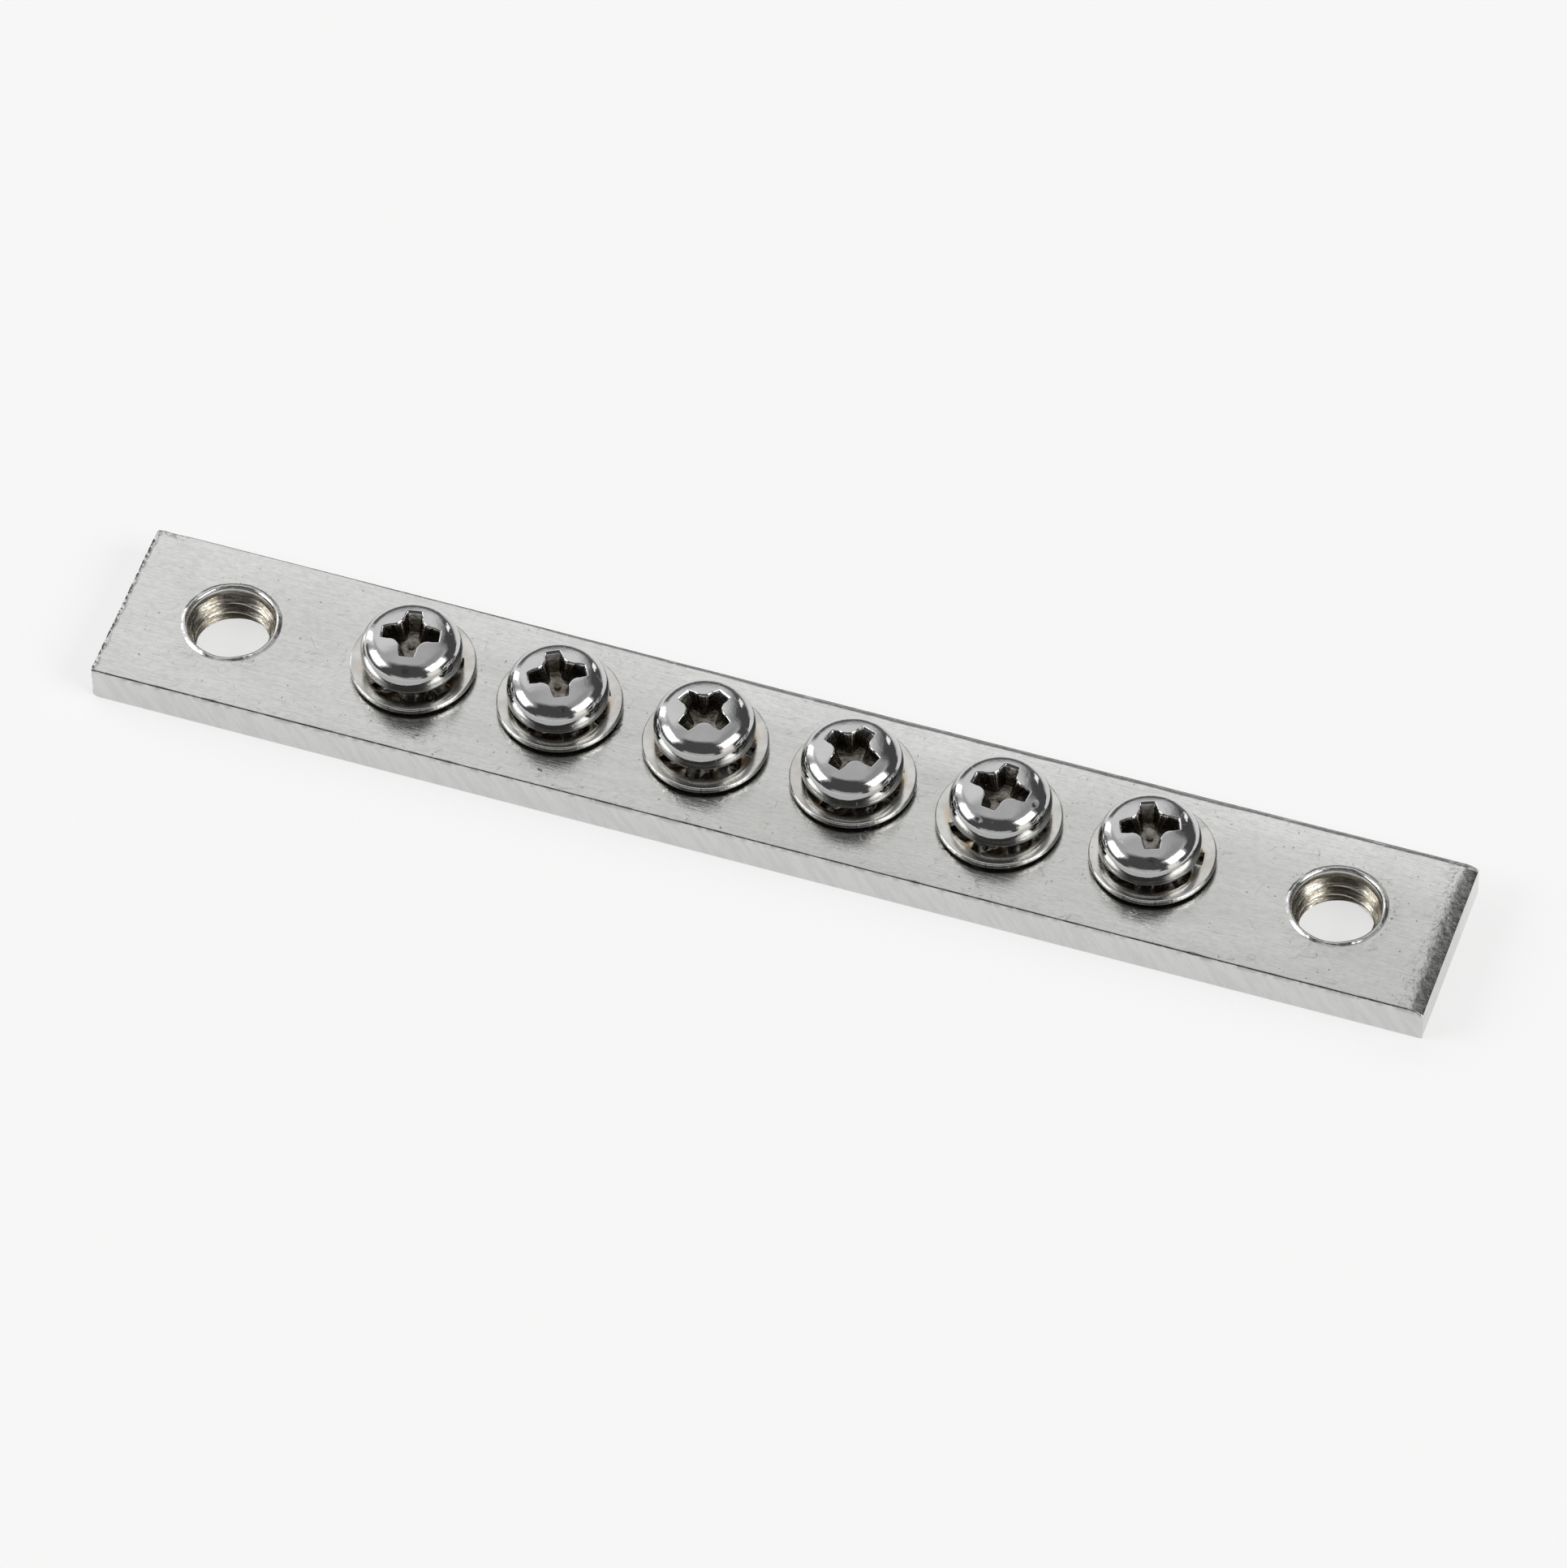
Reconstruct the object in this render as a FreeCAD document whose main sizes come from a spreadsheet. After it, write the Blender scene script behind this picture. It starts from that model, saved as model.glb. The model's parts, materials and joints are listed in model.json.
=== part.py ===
# Terminal bar: a plated flat bar with a tapped hole near each end and a row of
# cross-recess pan head screws, each standing on a lock washer with twisted inner teeth.
# Frame: X along the bar, Y across it towards the back edge, Z up. The origin is on the
# underside, in the middle of the bar. Millimetres and degrees.
import FreeCAD, Part
import enum
import math
import os
import Sketcher

TERMINALS = 6
QUARTERS = 4
FULL_TURN = 360.0

# Driving sizes, one cell of the sheet for each.
SIZES = {
    "bar_length": 95.0,
    "bar_width": 13.2,
    "bar_thickness": 2.85,
    "end_roll_width": 1.3,
    "end_roll_drop": 0.35,
    "lower_end_round": 0.6,
    "back_edge_round": 0.35,
    "row_offset": 0.3,
    "left_hole_inset": 7.75,
    "right_hole_inset": 8.1,
    "mount_thread_radius": 3.0,
    "mount_thread_depth": 0.45,
    "mount_thread_entry": 0.35,
    "sink_flare": 0.44,
    "sink_depth": 0.25,
    "under_chamfer": 0.2,
    "terminal_pitch": 10.55,
    "thread_radius": 2.0,
    "bore_clearance": 0.03,
    "tip_inset": 0.1,
    "tip_chamfer": 0.35,
    "head_radius": 3.5,
    "head_height": 2.6,
    "crown_radius": 9.0,
    "shoulder_round": 1.5,
    "bearing_round": 0.35,
    "recess_reach": 2.1,
    "recess_arm_width": 1.0,
    "recess_flare": 1.24,
    "recess_flare_start": 1.55,
    "recess_lobe": 1.22,
    "recess_depth": 1.7,
    "floor_reach": 1.35,
    "floor_arm_width": 0.66,
    "floor_flare": 0.8,
    "floor_flare_start": 0.92,
    "floor_lobe": 0.7,
    "recess_point_radius": 0.5,
    "recess_point_depth": 0.35,
    "ring_radius": 4.33,
    "ring_band": 0.88,
    "ring_thickness": 0.45,
    "ring_edge_round": 0.13,
    "tooth_count": 8,
    "tooth_root_width": 1.6,
    "tooth_root_overlap": 0.3,
    "tooth_neck_share": 0.18,
    "tooth_tip_width": 1.1,
    "tooth_twist": 35.0,
    "tooth_clearance": 0.25,
    "seat_gap": 0.01,
}

# How far each screw is turned, and how far it stands above its washer's teeth, because
# none is driven home. Then how each loose washer is turned and has slipped on its shank,
# as shares of its slack towards +X and +Y. One entry for each terminal.
SCREW_TURNS = (11.0, 28.0, 64.0, 71.0, 83.0, 22.0)
SCREW_LIFTS = (0.42, 0.13, 0.3, 0.26, 0.2, 0.16)
WASHER_TURNS = (36.0, 10.0, 25.0, 8.0, 16.0, 30.0)
WASHER_SLIPS_X = (0.15, 0.45, 0.55, 0.2, -0.15, 0.95)
WASHER_SLIPS_Y = (0.4, 0.2, -0.95, 0.1, -0.95, 0.1)


class Size:
    """A length or count, with the sheet expression that gives the same number."""

    def __init__(self, value, text):
        self.value = value
        self.text = text

    def __add__(self, other):
        other = as_size(other)
        return Size(self.value + other.value, f"({self.text} + {other.text})")

    def __sub__(self, other):
        other = as_size(other)
        return Size(self.value - other.value, f"({self.text} - {other.text})")

    def __mul__(self, other):
        other = as_size(other)
        return Size(self.value * other.value, f"({self.text} * {other.text})")

    def __truediv__(self, other):
        other = as_size(other)
        return Size(self.value / other.value, f"({self.text} / {other.text})")

    def __neg__(self):
        return Size(-self.value, f"(-1 * {self.text})")

    def root(self):
        """The square root."""
        return Size(math.sqrt(self.value), f"sqrt({self.text})")

    def sine(self):
        """The sine of an angle in degrees."""
        return Size(math.sin(math.radians(self.value)), f"sin({self.text} * 1 deg)")

    def cosine(self):
        """The cosine of an angle in degrees."""
        return Size(math.cos(math.radians(self.value)), f"cos({self.text} * 1 deg)")


def as_size(number):
    """A plain number as a Size; a Size stays as it is."""
    if isinstance(number, Size):
        return number
    return Size(number, repr(number))


def add_terminal_sizes():
    """Gives each terminal its own cells for the turns, the lift and the slip."""
    for index in range(TERMINALS):
        terminal = index + 1
        SIZES[f"screw_turn_{terminal}"] = SCREW_TURNS[index]
        SIZES[f"screw_lift_{terminal}"] = SCREW_LIFTS[index]
        SIZES[f"washer_turn_{terminal}"] = WASHER_TURNS[index]
        SIZES[f"washer_slip_x_{terminal}"] = WASHER_SLIPS_X[index]
        SIZES[f"washer_slip_y_{terminal}"] = WASHER_SLIPS_Y[index]


def make_sheet(doc):
    """Writes the driving sizes to a sheet, each cell under its own alias."""
    sheet = doc.addObject("Spreadsheet::Sheet", "Dims")
    for row, (name, value) in enumerate(SIZES.items(), start=1):
        sheet.set(f"A{row}", name)
        sheet.set(f"B{row}", str(value))
        sheet.setAlias(f"B{row}", name)
    doc.recompute()


def dim(name):
    """The driving size of that name."""
    return Size(SIZES[name], f"Dims.{name}")


ZERO = as_size(0.0)
SAME_PLACE = 1e-4


class Place(enum.IntEnum):
    """How a sketch constraint names a place on an edge."""

    START = 1
    END = 2
    CENTRE = 3


class Axis(enum.IntEnum):
    """How a sketch constraint names the sketch's own axes."""

    LEVEL = -1
    UPRIGHT = -2


def bind(feature, prop, size):
    """Ties a property of a feature to the sheet."""
    feature.setExpression(prop, size.text)


def origin_feature(body, role):
    """A plane or axis of the body's own origin."""
    return next(item for item in body.Origin.OriginFeatures if item.Role == role)


def add_sketch(body, name, role, offset=ZERO, shift=ZERO, turn=ZERO):
    """A sketch on an origin plane, moved along the plane's normal and along its own X."""
    sketch = body.newObject("Sketcher::SketchObject", name)
    sketch.AttachmentSupport = [(origin_feature(body, role), "")]
    sketch.MapMode = "FlatFace"
    bind(sketch, "AttachmentOffset.Base.x", shift)
    bind(sketch, "AttachmentOffset.Base.z", offset)
    bind(sketch, "AttachmentOffset.Rotation.Angle", turn)
    return sketch


def tie(sketch, edge, place, axis, size):
    """Holds one coordinate of a sketch point to a size."""
    if size is ZERO:
        axis_line = Axis.UPRIGHT if axis == "X" else Axis.LEVEL
        sketch.addConstraint(Sketcher.Constraint("PointOnObject", edge, place, axis_line))
        return
    number = sketch.addConstraint(Sketcher.Constraint(f"Distance{axis}", edge, place, size.value))
    bind(sketch, f"Constraints[{number}]", size)


def arc_between(start, end, centre):
    """The short arc from start to end about centre, and whether it runs backwards."""
    radius = math.dist(start, centre)
    first = math.atan2(start[1] - centre[1], start[0] - centre[0])
    last = math.atan2(end[1] - centre[1], end[0] - centre[0])
    backwards = (last - first) % math.tau > math.pi
    if backwards:
        first, last = last, first
    circle = Part.Circle(FreeCAD.Vector(*centre, 0), FreeCAD.Vector(0, 0, 1), radius)
    return Part.ArcOfCircle(circle, first, last), backwards


def draw_loop(sketch, corners):
    """Draws a closed outline and ties every corner to the sheet.

    A corner is its X and its Y. Where an arc starts, the arc's centre comes third; the
    arc's end then keeps only its X, and its Y follows.
    """
    count = len(corners)
    points = [(across, along) for across, along, *_ in corners]
    centres = {number: centre for number, (_, _, *rest) in enumerate(corners) for centre in rest}
    ends = []
    for number in range(count):
        start = tuple(size.value for size in points[number])
        end = tuple(size.value for size in points[(number + 1) % count])
        backwards = False
        if number in centres:
            centre = tuple(size.value for size in centres[number])
            shape, backwards = arc_between(start, end, centre)
        else:
            shape = Part.LineSegment(FreeCAD.Vector(*start, 0), FreeCAD.Vector(*end, 0))
        edge = sketch.addGeometry(shape)
        ends.append((edge, Place.END, Place.START) if backwards else (edge, Place.START, Place.END))
    for number in range(count):
        edge, start, end = ends[number]
        after, after_start, _ = ends[(number + 1) % count]
        sketch.addConstraint(Sketcher.Constraint("Coincident", edge, end, after, after_start))
        across, along = points[number]
        tie(sketch, edge, start, "X", across)
        if (number - 1) % count not in centres:
            tie(sketch, edge, start, "Y", along)
        if number in centres:
            across, along = centres[number]
            tie(sketch, edge, Place.CENTRE, "X", across)
            tie(sketch, edge, Place.CENTRE, "Y", along)


def edges_where(shape, test):
    """Names of the shape's edges for which the test is true."""
    return [f"Edge{number}" for number, edge in enumerate(shape.Edges, start=1) if test(edge)]


def is_circle(edge, radius, height):
    """Whether an edge is a level circle of that radius and height about the Z axis."""
    if edge.Degenerated or not isinstance(edge.Curve, Part.Circle):
        return False
    same_radius = math.isclose(edge.Curve.Radius, radius, abs_tol=SAME_PLACE)
    return same_radius and math.isclose(edge.Curve.Center.z, height, abs_tol=SAME_PLACE)


def add_fillet(body, name, base, edges, radius):
    """Rounds edges of a feature."""
    fillet = body.newObject("PartDesign::Fillet", name)
    fillet.Base = (base, edges)
    bind(fillet, "Radius", radius)
    FreeCAD.ActiveDocument.recompute()
    return fillet


def add_groove(body, name, sketch):
    """Turns a profile about the sketch's own upright axis and cuts it away."""
    groove = body.newObject("PartDesign::Groove", name)
    groove.Profile = sketch
    groove.ReferenceAxis = (sketch, ["V_Axis"])
    groove.Angle = FULL_TURN
    FreeCAD.ActiveDocument.recompute()
    return groove


def tooth_half_height():
    """How far a twisted tooth stands above or below the middle of its washer."""
    twist = dim("tooth_twist")
    return (dim("tooth_tip_width") * twist.sine() + dim("ring_thickness") * twist.cosine()) / 2.0


def washer_height():
    """Height of the washer's middle over the bar."""
    return tooth_half_height() + dim("seat_gap")


def bearing_height():
    """Height at which a driven screw's head bears, above the bar's underside."""
    return dim("bar_thickness") + washer_height() * 2.0


def row_middle():
    """Middle of the row of terminals, which is midway between the mounting holes."""
    return (dim("left_hole_inset") - dim("right_hole_inset")) / 2.0


def terminal_x(index):
    """Place of a terminal along the bar."""
    return row_middle() + dim("terminal_pitch") * (index - (TERMINALS - 1) / 2.0)


def add_mounting_hole(body, name, place):
    """Cuts a tapped hole with a countersunk mouth; its bore is the thread's crest."""
    thickness = dim("bar_thickness")
    thread = dim("mount_thread_radius")
    bore = thread - dim("mount_thread_depth")
    sink = thread + dim("sink_flare")
    entry_height = thickness - dim("sink_depth")
    crest_height = entry_height - dim("mount_thread_entry")
    chamfer = dim("under_chamfer")
    sketch = add_sketch(body, f"{name}_profile", "XZ_Plane", offset=-dim("row_offset"), shift=place)
    corners = [
        (ZERO, ZERO), (bore + chamfer, ZERO), (bore, chamfer), (bore, crest_height),
        (thread, entry_height), (sink, thickness), (ZERO, thickness),
    ]
    draw_loop(sketch, corners)
    return add_groove(body, name, sketch)


def add_terminal_bores(body):
    """Cuts the row of tapped bores that the terminal screws sit in."""
    bore = dim("thread_radius") + dim("bore_clearance")
    chamfer = dim("under_chamfer")
    top = dim("bar_thickness")
    sketch = add_sketch(
        body, "terminal_bore_profile", "XZ_Plane", offset=-dim("row_offset"), shift=terminal_x(0)
    )
    corners = [
        (ZERO, ZERO), (bore + chamfer, ZERO), (bore, chamfer), (bore, top), (ZERO, top),
    ]
    draw_loop(sketch, corners)
    first = add_groove(body, "terminal_bore", sketch)
    row = body.newObject("PartDesign::LinearPattern", "terminal_bores")
    row.Originals = [first]
    row.Direction = (origin_feature(body, "X_Axis"), [""])
    bind(row, "Length", dim("terminal_pitch") * (TERMINALS - 1))
    row.Occurrences = TERMINALS
    body.Tip = row
    return row


def build_busbar(doc):
    """The bar: sheared from strip, so one end is rolled over on top and one below."""
    body = doc.addObject("PartDesign::Body", "busbar")
    body.Label = "busbar"
    half = dim("bar_length") / 2.0
    top = dim("bar_thickness")
    roll = dim("end_roll_width")
    drop = dim("end_roll_drop")
    roll_radius = (roll * roll + drop * drop) / (drop * 2.0)
    lower = dim("lower_end_round")
    profile = add_sketch(body, "bar_profile", "XZ_Plane")
    draw_loop(profile, [
        (lower - half, ZERO), (half, ZERO),
        (half, top - drop, (half - roll, top - roll_radius)), (half - roll, top),
        (-half, top), (-half, lower, (lower - half, lower)),
    ])
    pad = body.newObject("PartDesign::Pad", "bar_strip")
    pad.Profile = profile
    pad.Midplane = True
    bind(pad, "Length", dim("bar_width"))
    doc.recompute()
    back = SIZES["bar_width"] / 2.0
    level = SIZES["bar_thickness"]
    back_edges = edges_where(pad.Shape, lambda edge: all(
        math.isclose(vertex.Y, back, abs_tol=SAME_PLACE)
        and math.isclose(vertex.Z, level, abs_tol=SAME_PLACE)
        for vertex in edge.Vertexes
    ))
    add_fillet(body, "back_edge", pad, back_edges, dim("back_edge_round"))
    add_mounting_hole(body, "left_hole", dim("left_hole_inset") - half)
    add_mounting_hole(body, "right_hole", half - dim("right_hole_inset"))
    add_terminal_bores(body)
    return body


def recess_outline(reach, arm_width, flare, flare_start, lobe):
    """Corners of a four-armed recess with round lobes between its arms."""
    half_arm = arm_width / 2.0
    half_flare = flare / 2.0
    diagonal = math.sqrt(2.0)
    rise = flare_start * flare_start + half_flare * half_flare - lobe * lobe
    centre = rise / ((flare_start + half_flare - lobe * diagonal) * 2.0)
    corners = []
    for quarter in range(QUARTERS):
        corners += [
            turned(reach, -half_arm, quarter),
            turned(reach, half_arm, quarter),
            (*turned(flare_start, half_flare, quarter), turned(centre, centre, quarter)),
            turned(half_flare, flare_start, quarter),
        ]
    return corners


def turned(across, along, quarter):
    """A point turned by whole quarters about the origin."""
    for _ in range(quarter):
        across, along = -along, across
    return across, along


def build_screw(doc, terminal):
    """A pan head screw; its own origin is on its axis at the underside of the head."""
    name = f"terminal_screw_{terminal}"
    body = doc.addObject("PartDesign::Body", name)
    body.Label = name
    shank = dim("thread_radius")
    chamfer = dim("tip_chamfer")
    tip = dim("tip_inset") - bearing_height()
    head = dim("head_radius")
    height = dim("head_height")
    crown = dim("crown_radius")
    rim = height - crown + (crown * crown - head * head).root()
    profile = add_sketch(body, f"{name}_profile", "XZ_Plane")
    corners = [
        (ZERO, height, (ZERO, height - crown)), (head, rim), (head, ZERO), (shank, ZERO),
        (shank, tip + chamfer), (shank - chamfer, tip), (ZERO, tip),
    ]
    draw_loop(profile, corners)
    turned_blank = body.newObject("PartDesign::Revolution", f"{name}_blank")
    turned_blank.Profile = profile
    turned_blank.ReferenceAxis = (profile, ["V_Axis"])
    turned_blank.Angle = FULL_TURN
    doc.recompute()
    shoulder_edges = edges_where(turned_blank.Shape, lambda edge: is_circle(edge, head.value, rim.value))
    shoulder = add_fillet(body, f"{name}_shoulder", turned_blank, shoulder_edges, dim("shoulder_round"))
    bearing_edges = edges_where(shoulder.Shape, lambda edge: is_circle(edge, head.value, 0.0))
    add_fillet(body, f"{name}_bearing_edge", shoulder, bearing_edges, dim("bearing_round"))
    add_recess(body, name, height)
    doc.recompute()
    bind(body, "Placement.Base.x", terminal_x(terminal - 1))
    bind(body, "Placement.Base.y", dim("row_offset"))
    bind(body, "Placement.Base.z", bearing_height() + dim(f"screw_lift_{terminal}"))
    bind(body, "Placement.Rotation.Angle", dim(f"screw_turn_{terminal}"))
    return body


def add_recess(body, name, height):
    """Cuts the tapered cross recess and the drill point under it."""
    mouth = add_sketch(body, f"{name}_recess_mouth", "XY_Plane", offset=height)
    draw_loop(mouth, recess_outline(
        dim("recess_reach"), dim("recess_arm_width"), dim("recess_flare"),
        dim("recess_flare_start"), dim("recess_lobe"),
    ))
    floor_height = height - dim("recess_depth")
    floor = add_sketch(body, f"{name}_recess_floor", "XY_Plane", offset=floor_height)
    draw_loop(floor, recess_outline(
        dim("floor_reach"), dim("floor_arm_width"), dim("floor_flare"),
        dim("floor_flare_start"), dim("floor_lobe"),
    ))
    recess = body.newObject("PartDesign::SubtractiveLoft", f"{name}_recess")
    recess.Profile = mouth
    recess.Sections = [floor]
    recess.Ruled = True
    FreeCAD.ActiveDocument.recompute()
    point = add_sketch(body, f"{name}_point_profile", "XZ_Plane")
    draw_loop(point, [
        (ZERO, floor_height), (dim("recess_point_radius"), floor_height),
        (ZERO, floor_height - dim("recess_point_depth")),
    ])
    add_groove(body, f"{name}_point", point)


def add_tooth_section(body, name, radius, width, twist=ZERO):
    """A section of a washer's tooth at a radius, turned by its twist."""
    half_width = width / 2.0
    half = dim("ring_thickness") / 2.0
    section = add_sketch(body, name, "YZ_Plane", offset=radius, turn=twist)
    draw_loop(section, [
        (-half_width, -half), (half_width, -half), (half_width, half), (-half_width, half),
    ])
    return section


def build_washer(doc, terminal):
    """A lock washer with twisted inner teeth; its own origin is at the ring's middle."""
    name = f"lock_washer_{terminal}"
    body = doc.addObject("PartDesign::Body", name)
    body.Label = name
    outer = dim("ring_radius")
    inner = outer - dim("ring_band")
    tip_radius = dim("thread_radius") + dim("tooth_clearance")
    half = dim("ring_thickness") / 2.0
    profile = add_sketch(body, f"{name}_profile", "XZ_Plane")
    draw_loop(profile, [(inner, -half), (outer, -half), (outer, half), (inner, half)])
    ring = body.newObject("PartDesign::Revolution", f"{name}_ring")
    ring.Profile = profile
    ring.ReferenceAxis = (profile, ["V_Axis"])
    ring.Angle = FULL_TURN
    doc.recompute()
    rim_edges = edges_where(ring.Shape, lambda edge: (
        is_circle(edge, outer.value, half.value) or is_circle(edge, outer.value, -half.value)
    ))
    add_fillet(body, f"{name}_rim", ring, rim_edges, dim("ring_edge_round"))
    root_width = dim("tooth_root_width")
    root = add_tooth_section(body, f"{name}_tooth_root", inner + dim("tooth_root_overlap"), root_width)
    neck_radius = inner - (inner - tip_radius) * dim("tooth_neck_share")
    neck = add_tooth_section(body, f"{name}_tooth_neck", neck_radius, root_width)
    tip = add_tooth_section(
        body, f"{name}_tooth_tip", tip_radius, dim("tooth_tip_width"), dim("tooth_twist")
    )
    tooth = body.newObject("PartDesign::AdditiveLoft", f"{name}_tooth")
    tooth.Profile = root
    tooth.Sections = [neck, tip]
    tooth.Ruled = True
    doc.recompute()
    teeth = body.newObject("PartDesign::PolarPattern", f"{name}_teeth")
    teeth.Originals = [tooth]
    teeth.Axis = (origin_feature(body, "Z_Axis"), [""])
    teeth.Angle = FULL_TURN
    bind(teeth, "Occurrences", dim("tooth_count"))
    body.Tip = teeth
    doc.recompute()
    slack = dim("tooth_clearance") - dim("bore_clearance")
    bind(body, "Placement.Base.x", terminal_x(terminal - 1) + slack * dim(f"washer_slip_x_{terminal}"))
    bind(body, "Placement.Base.y", dim("row_offset") + slack * dim(f"washer_slip_y_{terminal}"))
    bind(body, "Placement.Base.z", dim("bar_thickness") + washer_height())
    bind(body, "Placement.Rotation.Angle", dim(f"washer_turn_{terminal}"))
    return body


def check_document(doc):
    """Stops if any object of the document failed to build."""
    for item in doc.Objects:
        if "Invalid" in item.State or "Error" in item.State:
            raise RuntimeError(f"{item.Label} failed: {item.State}")


def write_steps(bodies):
    """Writes each sub-part to its own file, named after its label."""
    os.makedirs("parts", exist_ok=True)
    for body in bodies:
        shape = body.Shape
        if shape.isNull() or not shape.isValid() or len(shape.Solids) != 1:
            raise RuntimeError(f"{body.Label} has no valid single solid")
        shape.exportStep(f"parts/{body.Label}.step")
        print(f"{body.Label}: volume {shape.Volume:.2f}, faces {len(shape.Faces)}")


def build():
    """Builds the document and writes the files."""
    doc = FreeCAD.newDocument("terminal_bar")
    add_terminal_sizes()
    make_sheet(doc)
    bodies = [build_busbar(doc)]
    for terminal in range(1, TERMINALS + 1):
        bodies.append(build_screw(doc, terminal))
        bodies.append(build_washer(doc, terminal))
    doc.recompute()
    check_document(doc)
    write_steps(bodies)


build()
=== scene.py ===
"""Studio scene of a plated terminal bar with six clamp screws on toothed lock washers.

The bar is sheared from flat strip: its left end carries the burr of the cut, its right end
is rolled over on top. Near each end is a tapped M6 hole with a raised ridge round its mouth.
The six pan head screws sit in M4 bores and hold a captive lock washer each. Sizes are
millimetres and degrees, and turn into metres when a piece becomes an object. X runs along
the bar, Y to its back, Z up.
"""
import json
import logging
import math
from dataclasses import dataclass, fields
from enum import Enum

import bmesh
import bpy
import numpy as np
from mathutils import Matrix, Vector, noise
from mathutils.geometry import delaunay_2d_cdt


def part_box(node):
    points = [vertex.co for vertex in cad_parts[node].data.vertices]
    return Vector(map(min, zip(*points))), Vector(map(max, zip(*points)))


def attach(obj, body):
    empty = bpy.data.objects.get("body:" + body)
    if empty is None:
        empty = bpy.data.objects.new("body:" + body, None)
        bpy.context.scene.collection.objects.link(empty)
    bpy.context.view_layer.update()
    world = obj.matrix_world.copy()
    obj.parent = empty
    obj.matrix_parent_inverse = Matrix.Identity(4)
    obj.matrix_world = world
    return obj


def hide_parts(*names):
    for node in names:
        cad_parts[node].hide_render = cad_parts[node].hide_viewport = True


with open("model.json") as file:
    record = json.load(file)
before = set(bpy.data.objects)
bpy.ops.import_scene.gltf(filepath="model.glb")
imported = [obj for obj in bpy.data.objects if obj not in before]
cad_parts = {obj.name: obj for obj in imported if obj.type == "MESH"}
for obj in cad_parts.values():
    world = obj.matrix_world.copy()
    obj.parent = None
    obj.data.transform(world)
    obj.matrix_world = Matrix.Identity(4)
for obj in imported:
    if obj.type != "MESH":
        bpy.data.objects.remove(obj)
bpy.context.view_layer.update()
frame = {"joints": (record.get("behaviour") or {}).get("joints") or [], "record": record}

LOG = logging.getLogger("terminal_bar")
MM = 0.001
FULL_CIRCLE = 2.0 * math.pi
QUARTER_CIRCLE = 0.5 * math.pi
QUARTERS = 4
UP = Vector((0.0, 0.0, 1.0))
# Points that lie nearer together than this, in millimetres, become one.
WELD = 2e-4
# A panel of the tent is not seen in directions more aslant to it than this share.
GRAZING = 0.02
# The third coordinate at which all runs of noise are read.
NOISE_LEVEL = 0.5

Socket = bpy.types.NodeSocket
Value = Socket | float | tuple[float, ...]


class Mask(Enum):
    """Surface masks that the meshes carry and the finishes read."""

    THREAD = "thread"
    GROOVE = "groove"
    SHEARED = "sheared"
    EDGE = "edge"
    RECESS = "recess"
    SCUFF = "scuff"
    RIM = "rim"
    INNER = "inner"
    SPOKE_X = "spoke_x"
    SPOKE_Y = "spoke_y"


def direction(azimuth: float, elevation: float) -> Vector:
    """A unit vector towards a place in the studio.

    Args:
        azimuth: Degrees round the object, 0 in front (-Y) and 90 to the right (+X).
        elevation: Degrees above the floor.

    Returns:
        The vector from the object towards that place.
    """
    turn, rise = math.radians(azimuth), math.radians(elevation)
    level = math.cos(rise)
    return Vector((math.sin(turn) * level, -math.cos(turn) * level, math.sin(rise)))


def smooth_share(value: np.ndarray | float) -> np.ndarray | float:
    """A share from 0 to 1 with soft ends, for values from 0 to 1."""
    share = np.clip(value, 0.0, 1.0)
    return share * share * (3.0 - 2.0 * share)


class Run(Enum):
    """Runs of smooth noise along the bar's edges: the lane of each, and how fast it changes."""

    TEAR = (3.7, 2.6)
    CRUMB = (8.1, 9.0)
    ROLL = (5.2, 0.45)
    SLOW_CREASE = (1.3, 0.3)
    QUICK_CREASE = (2.3, 1.9)
    LUG = (4.1, 1.2)
    BURR = (2.9, 7.5)
    FLAKE = (6.9, 3.1)
    BRUISE = (6.6, 3.4)
    FRONT_EDGE = (4.4, 1.1)
    TORN = (6.1, 1.7)
    CUT_FACE = (7.3, 1.9)


def wobble(place: float, run: Run) -> float:
    """Smooth noise from -1 to 1 along a run."""
    lane, scale = run.value
    return noise.noise(Vector((place * scale, lane, NOISE_LEVEL)))


def uneven(place: float, run: Run) -> float:
    """Smooth noise from 0 to 1 along a run."""
    return 0.5 + 0.5 * wobble(place, run)


def ring_wobble(angles: np.ndarray, reach: float) -> np.ndarray:
    """Smooth noise from -1 to 1 round a ring, faster with a longer reach."""
    spokes = [(reach * math.cos(turn), reach * math.sin(turn)) for turn in angles]
    return np.array([noise.noise(Vector((x, y, NOISE_LEVEL))) for x, y in spokes])


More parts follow.
